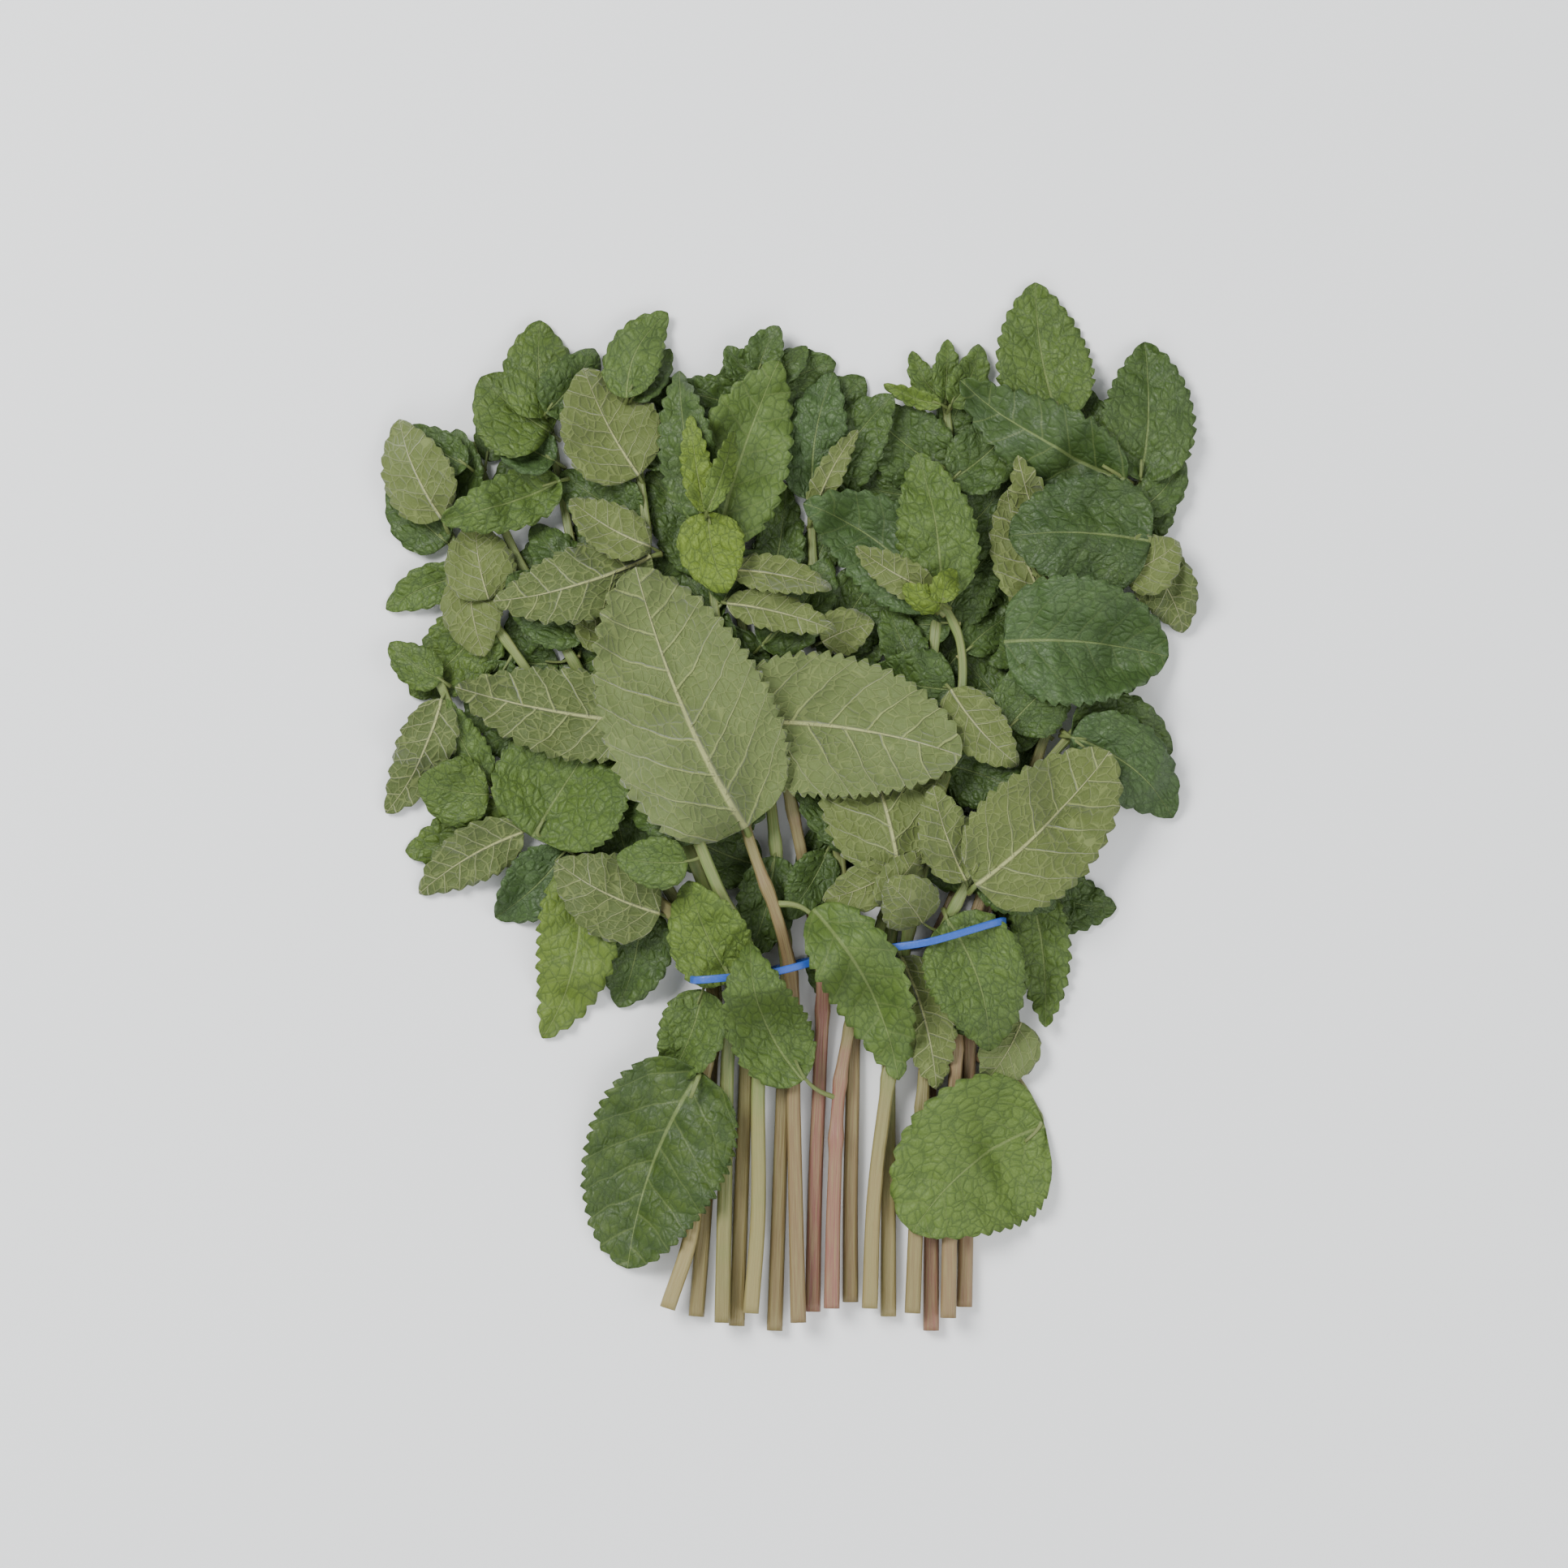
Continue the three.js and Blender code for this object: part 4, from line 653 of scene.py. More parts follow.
def vein_distance(s, t, length):
    """Millimetres from a place on the blade to the nearest side vein."""
    away = np.abs(t)
    spacing = vein_spacing(length)
    turns = (s - VEIN_SLANT * away - VEIN_CURVE * away * away) / spacing + LEFT_EARLIER * (t > 0)
    return np.abs(turns - np.round(turns)) * spacing * VEIN_LEAN


def quilting(s, t, length):
    """0 on a vein and 1 in the middle of the panel between veins."""
    from_side = 1 - np.exp(-((vein_distance(s, t, length) / SIDE_GROOVE) ** 2))
    from_midrib = 1 - np.exp(-((t / MIDRIB_GROOVE) ** 2))
    return from_side * from_midrib


print("vein spacing on the largest blade:", round(float(vein_spacing(largest.length)), 1), "mm")

# %% Smooth lines through heights
def smooth_line(places, values, wanted):
    """A curve through the values that never swings past them."""
    steps = np.diff(places)
    slopes = np.diff(values) / steps
    inner = np.zeros(len(slopes) - 1)
    same_way = slopes[:-1] * slopes[1:] > 0
    pair = slopes[:-1][same_way], slopes[1:][same_way]
    inner[same_way] = 2 * pair[0] * pair[1] / (pair[0] + pair[1])
    tangents = np.concatenate([[slopes[0]], inner, [slopes[-1]]])
    k = np.clip(np.searchsorted(places, wanted, side="right") - 1, 0, len(slopes) - 1)
    t = np.clip((wanted - places[k]) / steps[k], 0, 1)
    h = steps[k]
    start = (1 + 2 * t) * (1 - t) ** 2 * values[k] + t * (1 - t) ** 2 * h * tangents[k]
    return start + t * t * (3 - 2 * t) * values[k + 1] + t * t * (t - 1) * h * tangents[k + 1]


def surface_heights(shares, across, grid, u, v):
    """Heights at (u, v) all over a blade, smooth along it and across it."""
    lines = np.array([smooth_line(shares[:, k], grid[:, k], u) for k in range(len(across))])
    places = -np.array(across)
    k = np.clip(np.searchsorted(places, -v, side="right") - 1, 0, len(places) - 2)
    t = np.clip((-v - places[k]) / (places[k + 1] - places[k]), 0, 1)
    picks = np.arange(len(u))
    before = lines[np.maximum(k - 1, 0), picks]
    first, second = lines[k, picks], lines[k + 1, picks]
    after = lines[np.minimum(k + 2, len(places) - 1), picks]
    return cubic(first, second, (second - before) / 2, (after - first) / 2, t)


test_places, test_values = np.array([0.0, 1.0, 2.0]), np.array([0.0, 1.0, 0.0])
print("smooth line:", smooth_line(test_places, test_values, np.array([0.5, 1.0])))

# %% [markdown]
# ## Laying a copy of the blank
# On the bunch no two leaves lie the same way, so each is bent from its own copy. A lattice or a
# curve modifier could bend it, but the solid's own heights are known at every row. So the blank's
# places become shares along and across the blade, the plan formula sets them out, and the heights
# lift them. Each vertex also keeps its place on the leaf in millimetres, for the veins, and the
# leaf's tone.

# %% Copy a blank and keep marks in its mesh
BLADE_THICK = 0.36
ON_TABLE = 0.02  # the least height of any piece above the table
UPPER_FACE, UNDERSIDE, STEM_SKIN = 0, 1, 2  # the order of the finishes on every blank


def copy_blank(blank, name):
    """A copy with its own mesh, and the x, y and z of its vertices."""
    copy = bpy.data.objects.new(name, blank.data.copy())
    bpy.context.scene.collection.objects.link(copy)
    flat = np.empty(len(copy.data.vertices) * 3)
    copy.data.vertices.foreach_get("co", flat)
    return copy, flat.reshape(-1, 3).T


def shape_copy(copy, spots, place, tone):
    """Sets the vertices out in mm, and keeps their place on the leaf and its tone for the finishes."""
    copy.data.vertices.foreach_set("co", spots.ravel() * MM)
    for name, values in (("leaf_place", np.column_stack(place)), ("leaf_tone", np.tile(tone, len(spots)))):
        mark = copy.data.attributes.new(name, "FLOAT_VECTOR", "POINT")
        mark.data.foreach_set("vector", values.ravel())


def paint_leaf(copy, on_top):
    """Upper finish on the upper skin and the rim, underside finish on the other skin."""
    corners = np.empty(len(copy.data.loops), int)
    copy.data.loops.foreach_get("vertex_index", corners)
    any_on_top = on_top[corners].reshape(-1, 4).any(axis=1)
    copy.data.polygons.foreach_set("material_index", np.where(any_on_top, UPPER_FACE, UNDERSIDE))


print("a blade is", BLADE_THICK, "mm thick")

# %% [markdown]
# ## Teeth, folds and thickness
# The saw teeth lean towards the tip and are uneven. Between the veins the blade puffs up, its edge
# ripples, and the whole blade has a few soft folds. The teeth could be cut with a boolean, but
# moving the edge's own vertices keeps the mesh even. The midrib stands out below and sinks in above.

# %% Toothed edge
MIDRIB_CROWDED = 1.15  # above 1, the columns crowd towards the midrib
TOOTH_PLACES, TOOTH_REACHES = [0, 0.25, 0.5, 0.75, 0.999], [0, 0.5, 0.85, 1.0, 0.1]
TOOTH_UNEVEN, UNEVEN_BEAT, UNEVEN_SIDE = 0.25, 2.4, 2.0
TOOTH_DEPTH, DEPTH_LEAST, DEPTH_MOST = 0.028, 0.45, 1.45  # share of the length, limits in mm
TEETH_FROM, TEETH_RISE, TEETH_FALL = 0.05, 0.12, 0.04  # shares of the length
HALF_LEAST, HALF_AT_BASE, BASE_SHARE = 0.16, 0.7, 0.06
HARDLY = 1e-6


def toothed_edge(leaf, u, v, teeth, phases):
    """Millimetres to the left of the midrib, and how fully the blade is toothed there."""
    saw = np.interp((u * teeth) % 1.0, TOOTH_PLACES, TOOTH_REACHES) - 0.5
    saw *= 1 + TOOTH_UNEVEN * np.sin(u * teeth * UNEVEN_BEAT + phases[0] + (v > 0) * UNEVEN_SIDE)
    depth = np.clip(leaf.length * TOOTH_DEPTH, DEPTH_LEAST, DEPTH_MOST)
    toothed = np.clip((u - TEETH_FROM) / TEETH_RISE, 0, 1) * np.clip((1 - u) / TEETH_FALL, 0, 1)
    half = leaf.width * 0.5 * outline(leaf, np.clip(u, HARDLY, 1 - HARDLY))
    half = np.maximum(half, HALF_LEAST)
    half = np.maximum(half, HALF_AT_BASE * np.clip(1 - u / BASE_SHARE, 0, 1))
    return v * half + np.sign(v) * np.abs(v) ** 5 * saw * depth * toothed, toothed


print("teeth on one edge, and columns:", COLUMNS)

# %% Quilting, ripples and folds
PUFF, PUFF_WIDTH = 0.42, 18  # mm, on a blade of that width
FRILL, FRILL_WAVE, FRILL_SIDE = 0.3, 1.45, 1.7
RIPPLE, RIPPLE_WAVE, RIPPLE_SIDE, RIPPLE_WIDTH = 0.55, 4.2, 2.4, 16
FOLD, FOLD_WAVES = 0.2, (9.0, 7.0, 5.0)


def add_relief(z, leaf, u, v, sideways, toothed, phases):
    """Adds the relief to the heights of a blade's middle."""
    s, t = u * leaf.length, sideways
    up = 1.0 if leaf.face == UP else -1.0
    puff = PUFF * np.clip(leaf.width / PUFF_WIDTH, 0.35, 1.2)
    z += up * puff * (quilting(s, t, leaf.length) - 0.5) * np.clip((1 - v * v) * 4, 0, 1)
    edge = np.abs(v) ** 3
    z += FRILL * edge * np.sin(s / FRILL_WAVE + phases[1] + (v > 0) * FRILL_SIDE) * toothed
    ripple = RIPPLE * edge * np.sin(s / RIPPLE_WAVE + phases[0] + (v > 0) * RIPPLE_SIDE) * toothed
    z += ripple * np.clip(leaf.width / RIPPLE_WIDTH, 0.3, 1)
    for k, wave in enumerate(FOLD_WAVES):
        turn = phases[2 + k]
        z += FOLD * np.sin((s * np.cos(turn) + t * np.sin(turn)) * 2 * np.pi / wave + phases[5 + k])


print("relief of a blade:", PUFF, "mm puffed,", FRILL + RIPPLE, "mm at the edge,", FOLD, "mm a fold")

# %% Bend one blank over its place
# Two tones are painted shade: shaded darkens upper faces that lie in the shade of other leaves, and deep
# darkens undersides that lie deep in the bunch.
TONES = {  # lightness, yellowness
    "dark": (0.28, 0.44), "blue": (0.34, 0.12), "olive": (0.42, 0.66), "mid": (0.52, 0.48),
    "light": (0.66, 0.5), "bright": (0.72, 0.62), "lime": (0.55, 0.85), "young": (0.76, 0.9),
    "plain": (0.5, 0.5), "warm": (0.32, 0.9), "deep": (0.04, 0.9), "waxy": (0.08, 1.0),
    "shaded": (0.14, 0.44),
}
TOOTH_LONG = 2.9
RIB_NARROW, RIB_BELOW, RIB_ABOVE, RIB_ENDS = 0.55, 0.45, -0.12, 1.05
RIB_LENGTH = 40  # a leaf this long has a midrib of full thickness below


def teeth_for(leaf):
    wanted = leaf.length / TOOTH_LONG
    return min(BLANKS, key=lambda teeth: abs(teeth - wanted) / teeth)


def skin_out(leaf, u, sideways, below):
    """How far a skin stands off the blade's middle, in mm."""
    midrib = np.exp(-((sideways / RIB_NARROW) ** 2)) * np.clip(RIB_ENDS - u, 0, 1)
    swollen = RIB_BELOW * midrib * np.clip(leaf.length / RIB_LENGTH, 0.4, 1.1)
    return BLADE_THICK / 2 + np.where(below, swollen, RIB_ABOVE * midrib)


def lay_leaf(leaf, blade, seed):
    """Bends a copy of the nearest blank over a leaf's place. blade is what blade_middle gives."""
    teeth = teeth_for(leaf)
    copy, (x, y, skin) = copy_blank(BLANKS[teeth], "leaf")
    u = (y + 1) / 2
    v = -np.sign(x) * np.abs(x) ** MIDRIB_CROWDED
    phases = np.random.default_rng(seed).uniform(0, 2 * np.pi, 8)
    sideways, toothed = toothed_edge(leaf, u, v, teeth, phases)
    z = surface_heights(*blade, u, v)
    add_relief(z, leaf, u, v, sideways, toothed, phases)
    below = skin < 0 if leaf.face == UP else skin > 0
    z += skin * skin_out(leaf, u, sideways, below)
    z = np.maximum(z, np.where(skin < 0, ON_TABLE, ON_TABLE + BLADE_THICK))
    place = u * leaf.length, sideways, np.full(len(u), leaf.length)
    tone = (*TONES[leaf.tone], 0.0)  # the third part is a stem's alone
    shape_copy(copy, np.column_stack([*on_plan(leaf, u, sideways), z]), place, tone)
    paint_leaf(copy, ~below)
    return copy


print("teeth on the largest blade:", teeth_for(largest), "tones:", sorted(TONES))

# %% [markdown]
# ## One blank stem
# A mint stem is square, with rounded corners and a shallow groove down each face, and it swells at
# each pair of leaves. A curve with a bevel would make a round tube of even width. So the blank is a
# ring of twenty points extruded again and again into a rod one unit long, and a copy is laid along
# each route, at the heights of the solid stem. The leaf stalks are short copies of a slimmer blank.
# Laying a rod mirrors it, so the blank's faces point inwards, and the laid rod's outwards.

# %% Blank stem and blank stalk
STEM_SIDES, STEM_RINGS = 20, 110
STALK_SIDES, STALK_RINGS = 10, 12


def blank_rod(name, sides, rings):
    bpy.ops.object.select_all(action="DESELECT")
    bpy.ops.mesh.primitive_circle_add(vertices=sides, radius=1.0, fill_type="NGON")
    rod = bpy.context.active_object
    rod.name = name
    bpy.ops.object.mode_set(mode="EDIT")
    bpy.ops.mesh.select_all(action="SELECT")
    bpy.ops.mesh.flip_normals()
    for _ in range(rings):
        bpy.ops.mesh.extrude_region_move(TRANSFORM_OT_translate={"value": (0.0, 0.0, 1.0 / rings)})
    bpy.ops.mesh.select_all(action="SELECT")
    bpy.ops.mesh.normals_make_consistent(inside=True)
    bpy.ops.object.mode_set(mode="OBJECT")
    bpy.ops.object.shade_smooth()
    return rod


STEM_BLANK = blank_rod("blank_stem", STEM_SIDES, STEM_RINGS)
STALK_BLANK = blank_rod("blank_stalk", STALK_SIDES, STALK_RINGS)
print("blank stem:", len(STEM_BLANK.data.vertices), "blank stalk:", len(STALK_BLANK.data.vertices))

# %% The stem's section
GROOVE_DEEP, GROOVE_WIDE = 0.1, 0.22  # share of the half width, and radians


def section(angle, square):
    """How far a rod reaches, in half widths. square goes from 0, round, to 1, square and grooved."""
    corner = (np.abs(np.cos(angle)) ** 4 + np.abs(np.sin(angle)) ** 4) ** -0.25
    from_face = (angle + np.pi / 4) % (np.pi / 2) - np.pi / 4
    groove = 1 - GROOVE_DEEP * np.exp(-((from_face / GROOVE_WIDE) ** 2))
    return mix(1.0, corner * groove, square)


print("half widths at a face and at a corner:", section(np.radians([0, 45]), 1.0).round(2))

# %% Lay a rod along a path
HEADING_NEAR = 0.004  # how far ahead and back the path's heading is measured
SWELL_BY, SWELL_LONG = 0.22, 2.2  # share of the half width, and mm
PATH_STEPS = 60


def square_to(path, share):
    """Two directions square to a path: a level one to its right, and one upwards."""
    ahead = path(np.clip(share + HEADING_NEAR, 0, 1)) - path(np.clip(share - HEADING_NEAR, 0, 1))
    ahead /= np.linalg.norm(ahead, axis=1)[:, None]
    right = np.column_stack([ahead[:, 1], -ahead[:, 0], np.zeros(len(share))])
    right /= np.linalg.norm(right, axis=1)[:, None]
    return right, np.cross(right, ahead)


def lay_rod(blank, path, half_width, tone, square, swellings=()):
    """Lays a copy of a blank rod. path(share) and half_width(share) give millimetres."""
    copy, (x, y, share) = copy_blank(blank, "rod")
    share = np.clip(share, 0, 1)
    angle = np.arctan2(y, x)
    right, up = square_to(path, share)
    reach = section(angle, square) * half_width(share)
    length = np.linalg.norm(np.diff(path(np.linspace(0, 1, PATH_STEPS)), axis=0), axis=1).sum()
    for swelling in swellings:
        reach *= 1 + SWELL_BY * np.exp(-(((share - swelling) * length / SWELL_LONG) ** 2))
    spots = path(share) + right * (reach * np.cos(angle))[:, None] + up * (reach * np.sin(angle))[:, None]
    spots[:, 2] = np.maximum(spots[:, 2], ON_TABLE)
    shape_copy(copy, spots, [share * length, angle, np.full(len(share), length)], tone)
    copy.data.polygons.foreach_set("material_index", np.full(len(copy.data.polygons), STEM_SKIN))
    return copy


print("a leaf pair swells its stem by", SWELL_BY, "over", SWELL_LONG, "mm")

# %% [markdown]
# ## Vein pattern, as a node group
# Upper face and underside show the same veins, so the pattern is one shader node group. A picture
# of a leaf would blur when a leaf is seen close, and would be the same on every leaf. The group
# reads the place on the leaf in millimetres and gives masks: the midrib, the side veins, the coarse
# net between them, a fine net inside that, and the panels that puff up. Each material then decides
# what a vein looks like there.


# %% Small helpers for node trees
def plug(tree, socket, value):
    """Sets a socket to a number or a colour, or links another node's output to it."""
    if isinstance(value, tuple):
        socket.default_value = (*value, 1.0)
    elif isinstance(value, (int, float)):
        socket.default_value = value
    else:
        tree.links.new(value, socket)


def number_node(tree, operation, *values):
    """A Math node. A value is a number or another node's output."""
    node = tree.nodes.new("ShaderNodeMath")
    node.operation = operation
    for socket, value in zip(node.inputs, values):
        plug(tree, socket, value)
    return node.outputs[0]


def product(tree, first, *others):
    """Numbers multiplied one after another."""
    for other in others:
        first = number_node(tree, "MULTIPLY", first, other)
    return first


def fade_node(tree, value, low, high, start=0.0, end=1.0):
    """Goes smoothly from start to end as the value goes from low to high."""
    node = tree.nodes.new("ShaderNodeMapRange")
    node.interpolation_type = "SMOOTHSTEP"
    for name, part in (("Value", value), ("From Min", low), ("From Max", high),
                       ("To Min", start), ("To Max", end)):
        plug(tree, node.inputs[name], part)
    return node.outputs["Result"]


def blend_node(tree, share, first, second):
    """A colour mix. A colour is a tuple or another node's output."""
    node = tree.nodes.new("ShaderNodeMix")
    node.data_type = "RGBA"
    for socket, value in ((node.inputs[0], share), (node.inputs[6], first), (node.inputs[7], second)):
        plug(tree, socket, value)
    return node.outputs[2]


print("helpers for numbers:", [helper.__name__ for helper in (number_node, product, fade_node, blend_node)])


# %% Helpers that read the mesh and make patterns
def noise_node(tree, place, scale, detail):
    node = tree.nodes.new("ShaderNodeTexNoise")
    node.inputs["Scale"].default_value = scale
    node.inputs["Detail"].default_value = detail
    tree.links.new(place, node.inputs["Vector"])
    return node.outputs


def stretch_node(tree, vector, factors, start=None):
    """A vector times three factors, added to a start where there is one."""
    node = tree.nodes.new("ShaderNodeVectorMath")
    node.operation = "MULTIPLY" if start is None else "MULTIPLY_ADD"
    tree.links.new(vector, node.inputs[0])
    node.inputs[1].default_value = factors
    if start is not None:
        tree.links.new(start, node.inputs[2])
    return node.outputs[0]


def read_node(tree, name):
    """What each vertex keeps in the mesh under a name."""
    node = tree.nodes.new("ShaderNodeAttribute")
    node.attribute_name = name
    return node.outputs["Vector"]


def parts_node(tree, vector):
    """The three parts of a vector."""
    node = tree.nodes.new("ShaderNodeSeparateXYZ")
    tree.links.new(vector, node.inputs[0])
    return node.outputs["X"], node.outputs["Y"], node.outputs["Z"]


print("helpers for places:", [helper.__name__ for helper in (noise_node, stretch_node, parts_node)])

# %% Midrib, as nodes
RIB_AT_BASE, RIB_AT_TIP = 0.0105, 0.002  # half widths, as shares of the leaf's length
RIB_CORE, RIB_EDGE = 0.55, 1.7  # the midrib fades out between these shares of its half width


def midrib_mask(group, share, away, length, width):
    half = product(group, length, fade_node(group, share, 0.0, 1.0, RIB_AT_BASE, RIB_AT_TIP), width)
    core, edge = product(group, half, RIB_CORE), product(group, half, RIB_EDGE)
    return fade_node(group, away, core, edge, 1.0, 0.0)


print("midrib of a 50 mm leaf:", round(2 * 50 * RIB_AT_BASE, 2), "mm wide at its base")

# %% Side veins, as nodes
VEIN_AT_RIB, VEIN_FAR_OUT, FAR_OUT = 0.42, 0.14, 0.32  # half widths in mm, and a share of the length
VEIN_CORE = 0.3
GROWN, LEAST_GROWTH = 50.0, 0.4  # the length in mm at which a leaf's veins have their full width


def nearest_vein(group, along, across, away, length):
    """The formula of vein_distance, as nodes."""
    spacing = number_node(group, "DIVIDE", length, VEINS_PER_LEAF)
    spacing = number_node(group, "MAXIMUM", spacing, VEINS_CLOSEST)
    spacing = number_node(group, "MINIMUM", spacing, VEINS_WIDEST)
    turns = number_node(group, "SUBTRACT", along, product(group, away, VEIN_SLANT))
    turns = number_node(group, "SUBTRACT", turns, product(group, away, away, VEIN_CURVE))
    turns = number_node(group, "DIVIDE", turns, spacing)
    left = number_node(group, "GREATER_THAN", across, 0.0)
    turns = number_node(group, "ADD", turns, product(group, left, LEFT_EARLIER))
    off = number_node(group, "SUBTRACT", turns, number_node(group, "ROUND", turns))
    return product(group, number_node(group, "ABSOLUTE", off), spacing, VEIN_LEAN)


def side_vein_mask(group, distance, away, length, width):
    far = number_node(group, "DIVIDE", away, length)
    growth = number_node(group, "MAXIMUM", number_node(group, "DIVIDE", length, GROWN), LEAST_GROWTH)
    growth = number_node(group, "MINIMUM", growth, 1.0)
    half = product(group, fade_node(group, far, 0.0, FAR_OUT, VEIN_AT_RIB, VEIN_FAR_OUT), width, growth)
    return fade_node(group, distance, product(group, half, VEIN_CORE), half, 1.0, 0.0)


print("side veins:", 2 * VEIN_AT_RIB, "mm wide where they leave the midrib")

# %% The nets and the panels, as nodes
COARSE_NET, FINE_NET = (0.085, 0.5), (0.07, 1.25)  # a line's width, and cells per mm
CELL_ALONG, CELL_ACROSS = 0.85, 1.15  # cells are longer than they are wide
LINE_CORE = 0.25
PANEL_RISE, PANEL_OFF_VEIN, PANEL_OFF_RIB = 0.26, (0.05, 0.8), (0.2, 1.2)


def net_mask(group, place, line, scale):
    """Lines between cells, and the distance to the nearest one."""
    cells = group.nodes.new("ShaderNodeTexVoronoi")
    cells.feature = "DISTANCE_TO_EDGE"
    cells.inputs["Scale"].default_value = 1.0
    stretched = stretch_node(group, place, (scale * CELL_ALONG, scale * CELL_ACROSS, scale))
    group.links.new(stretched, cells.inputs["Vector"])
    edge = cells.outputs["Distance"]
    return fade_node(group, edge, line * LINE_CORE, line, 1.0, 0.0), edge


def panel_mask(group, edge, distance, away):
    """1 inside a cell of the coarse net, 0 at its rim, on a side vein and on the midrib."""
    inside = fade_node(group, edge, 0.0, PANEL_RISE)
    off_vein, off_rib = fade_node(group, distance, *PANEL_OFF_VEIN), fade_node(group, away, *PANEL_OFF_RIB)
    return product(group, inside, off_vein, off_rib)


print("coarse cells:", round(1 / COARSE_NET[1], 1), "mm, fine cells:", round(1 / FINE_NET[1], 1), "mm")

# %% The vein group
WANDER_SCALE, WANDER_BY = 0.16, 2.4  # veins stray by up to half of this many mm to either side


def build_vein_group():
    group = bpy.data.node_groups.new("leaf_veins", "ShaderNodeTree")
    for name in ("Midrib", "Side Veins", "Net", "Fine Net", "Panel"):
        group.interface.new_socket(name=name, in_out="OUTPUT", socket_type="NodeSocketFloat")
    group.interface.new_socket(name="Vein Width", in_out="INPUT", socket_type="NodeSocketFloat")
    inside, outside = group.nodes.new("NodeGroupInput"), group.nodes.new("NodeGroupOutput")
    width = inside.outputs["Vein Width"]
    place = read_node(group, "leaf_place")
    wander = noise_node(group, place, WANDER_SCALE, 2.0)["Color"]
    strayed = stretch_node(group, wander, (WANDER_BY, WANDER_BY, 0.0), place)
    straight, across, length = parts_node(group, place)
    along = number_node(group, "SUBTRACT", parts_node(group, strayed)[0], WANDER_BY / 2)
    away = number_node(group, "ABSOLUTE", across)
    share = number_node(group, "DIVIDE", straight, length)
    distance = nearest_vein(group, along, across, away, length)
    net, edge = net_mask(group, strayed, *COARSE_NET)
    masks = {
        "Midrib": midrib_mask(group, share, away, length, width),
        "Side Veins": side_vein_mask(group, distance, away, length, width),
        "Net": net,
        "Fine Net": net_mask(group, strayed, *FINE_NET)[0],
        "Panel": panel_mask(group, edge, distance, away),
    }
    for name, mask in masks.items():
        group.links.new(mask, outside.inputs[name])
    return group


VEINS = build_vein_group()
print("vein group:", len(VEINS.nodes), "nodes")

# %% [markdown]
# ## Upper face
# The upper face is deep green and slightly glossy. It is quilted: each cell of the net puffs up and
# shines a little, and the hollows and creases between cells are darkened by painted shade. Old
# leaves are darker and bluer, young ones at the shoot tips yellow-green. One green for each kind of
# leaf would need a material for each, so the tone kept in the mesh steers one material instead. A
# long leaf has filled out: its cells lie flatter and its veins turn pale, so its length steers the
# relief. On shorter leaves the side veins are painted dark, as painted shade in their grooves.


# %% Helpers for finishes
def new_material(name):
    material = bpy.data.materials.new(name)
    material.use_nodes = True
    return material, material.node_tree, material.node_tree.nodes["Principled BSDF"]


def place_veins(tree, width):
    """The vein group's masks, by name, with its veins made wider or narrower by a factor."""
    node = tree.nodes.new("ShaderNodeGroup")
    node.node_tree = VEINS
    node.inputs["Vein Width"].default_value = width
    return node.outputs


def bump_node(tree, height, distance):
    bump = tree.nodes.new("ShaderNodeBump")
    bump.inputs["Distance"].default_value = distance
    bump.inputs["Strength"].default_value = 1.0
    tree.links.new(height, bump.inputs["Height"])
    return bump.outputs["Normal"]


def weighted_sum(tree, *pairs):
    total = None
    for weight, value in pairs:
        part = number_node(tree, "MULTIPLY", value, weight)
        total = part if total is None else number_node(tree, "ADD", total, part)
    return total


def blotched(tree, lightness, patches):
    """The leaf's lightness, made uneven by soft patches."""
    return number_node(tree, "ADD", lightness, number_node(tree, "MULTIPLY_ADD", patches, 0.5, -0.25))


def layer(tree, share, mask, under, over):
    """Lays a colour over another where a mask is, by a share of it."""
    return blend_node(tree, number_node(tree, "MULTIPLY", mask, share), under, over)


print("helpers for finishes:", [helper.__name__ for helper in (place_veins, weighted_sum, blotched, layer)])

# %% Upper face of a mint leaf: colour
YOUNG_LENGTH, FULL_LENGTH = 26.0, 40.0  # mm, between which a leaf fills out
BLUE_GREENS = (0.020, 0.051, 0.014), (0.086, 0.152, 0.039)  # darkest and lightest
YELLOW_GREENS = (0.029, 0.059, 0.007), (0.165, 0.245, 0.019)
# The young leaves' vein colour is painted shade, dark as in sunken veins; the grown leaves' vein colour is
# the veins' own pale green.
YOUNG_VEIN_SHADE, FULL_VEIN, RIB_GREEN = (0.024, 0.046, 0.010), (0.125, 0.165, 0.045), (0.17, 0.22, 0.07)
# Painted shade: very dark greens for the hollows between the puffed panels and for the net's creases.
PAINTED_HOLLOW_SHADE, PAINTED_CREASE_SHADE, SPECK_GREEN = (0.018, 0.040, 0.006), (0.014, 0.032, 0.005), (0.11, 0.16, 0.045)
UPPER, tree, skin = new_material("mint_leaf_upper")
veins = place_veins(tree, 0.8)
lightness, yellowness, _ = parts_node(tree, read_node(tree, "leaf_tone"))
place = read_node(tree, "leaf_place")
leaf_length = parts_node(tree, place)[2]
patches = noise_node(tree, place, 0.22, 4.0)["Fac"]
speckle = noise_node(tree, place, 2.6, 3.0)["Fac"]
shade = blotched(tree, lightness, patches)
colour = blend_node(tree, yellowness, blend_node(tree, shade, *BLUE_GREENS),
                    blend_node(tree, shade, *YELLOW_GREENS))
# How strongly the net's creases are darkened by painted shade, less on long leaves.
crease_shade_share = fade_node(tree, leaf_length, YOUNG_LENGTH, FULL_LENGTH, 0.42, 0.34)
vein_shade_and_colour = blend_node(tree, fade_node(tree, leaf_length, YOUNG_LENGTH, FULL_LENGTH), YOUNG_VEIN_SHADE, FULL_VEIN)
hollows = number_node(tree, "SUBTRACT", 1.0, veins["Panel"])
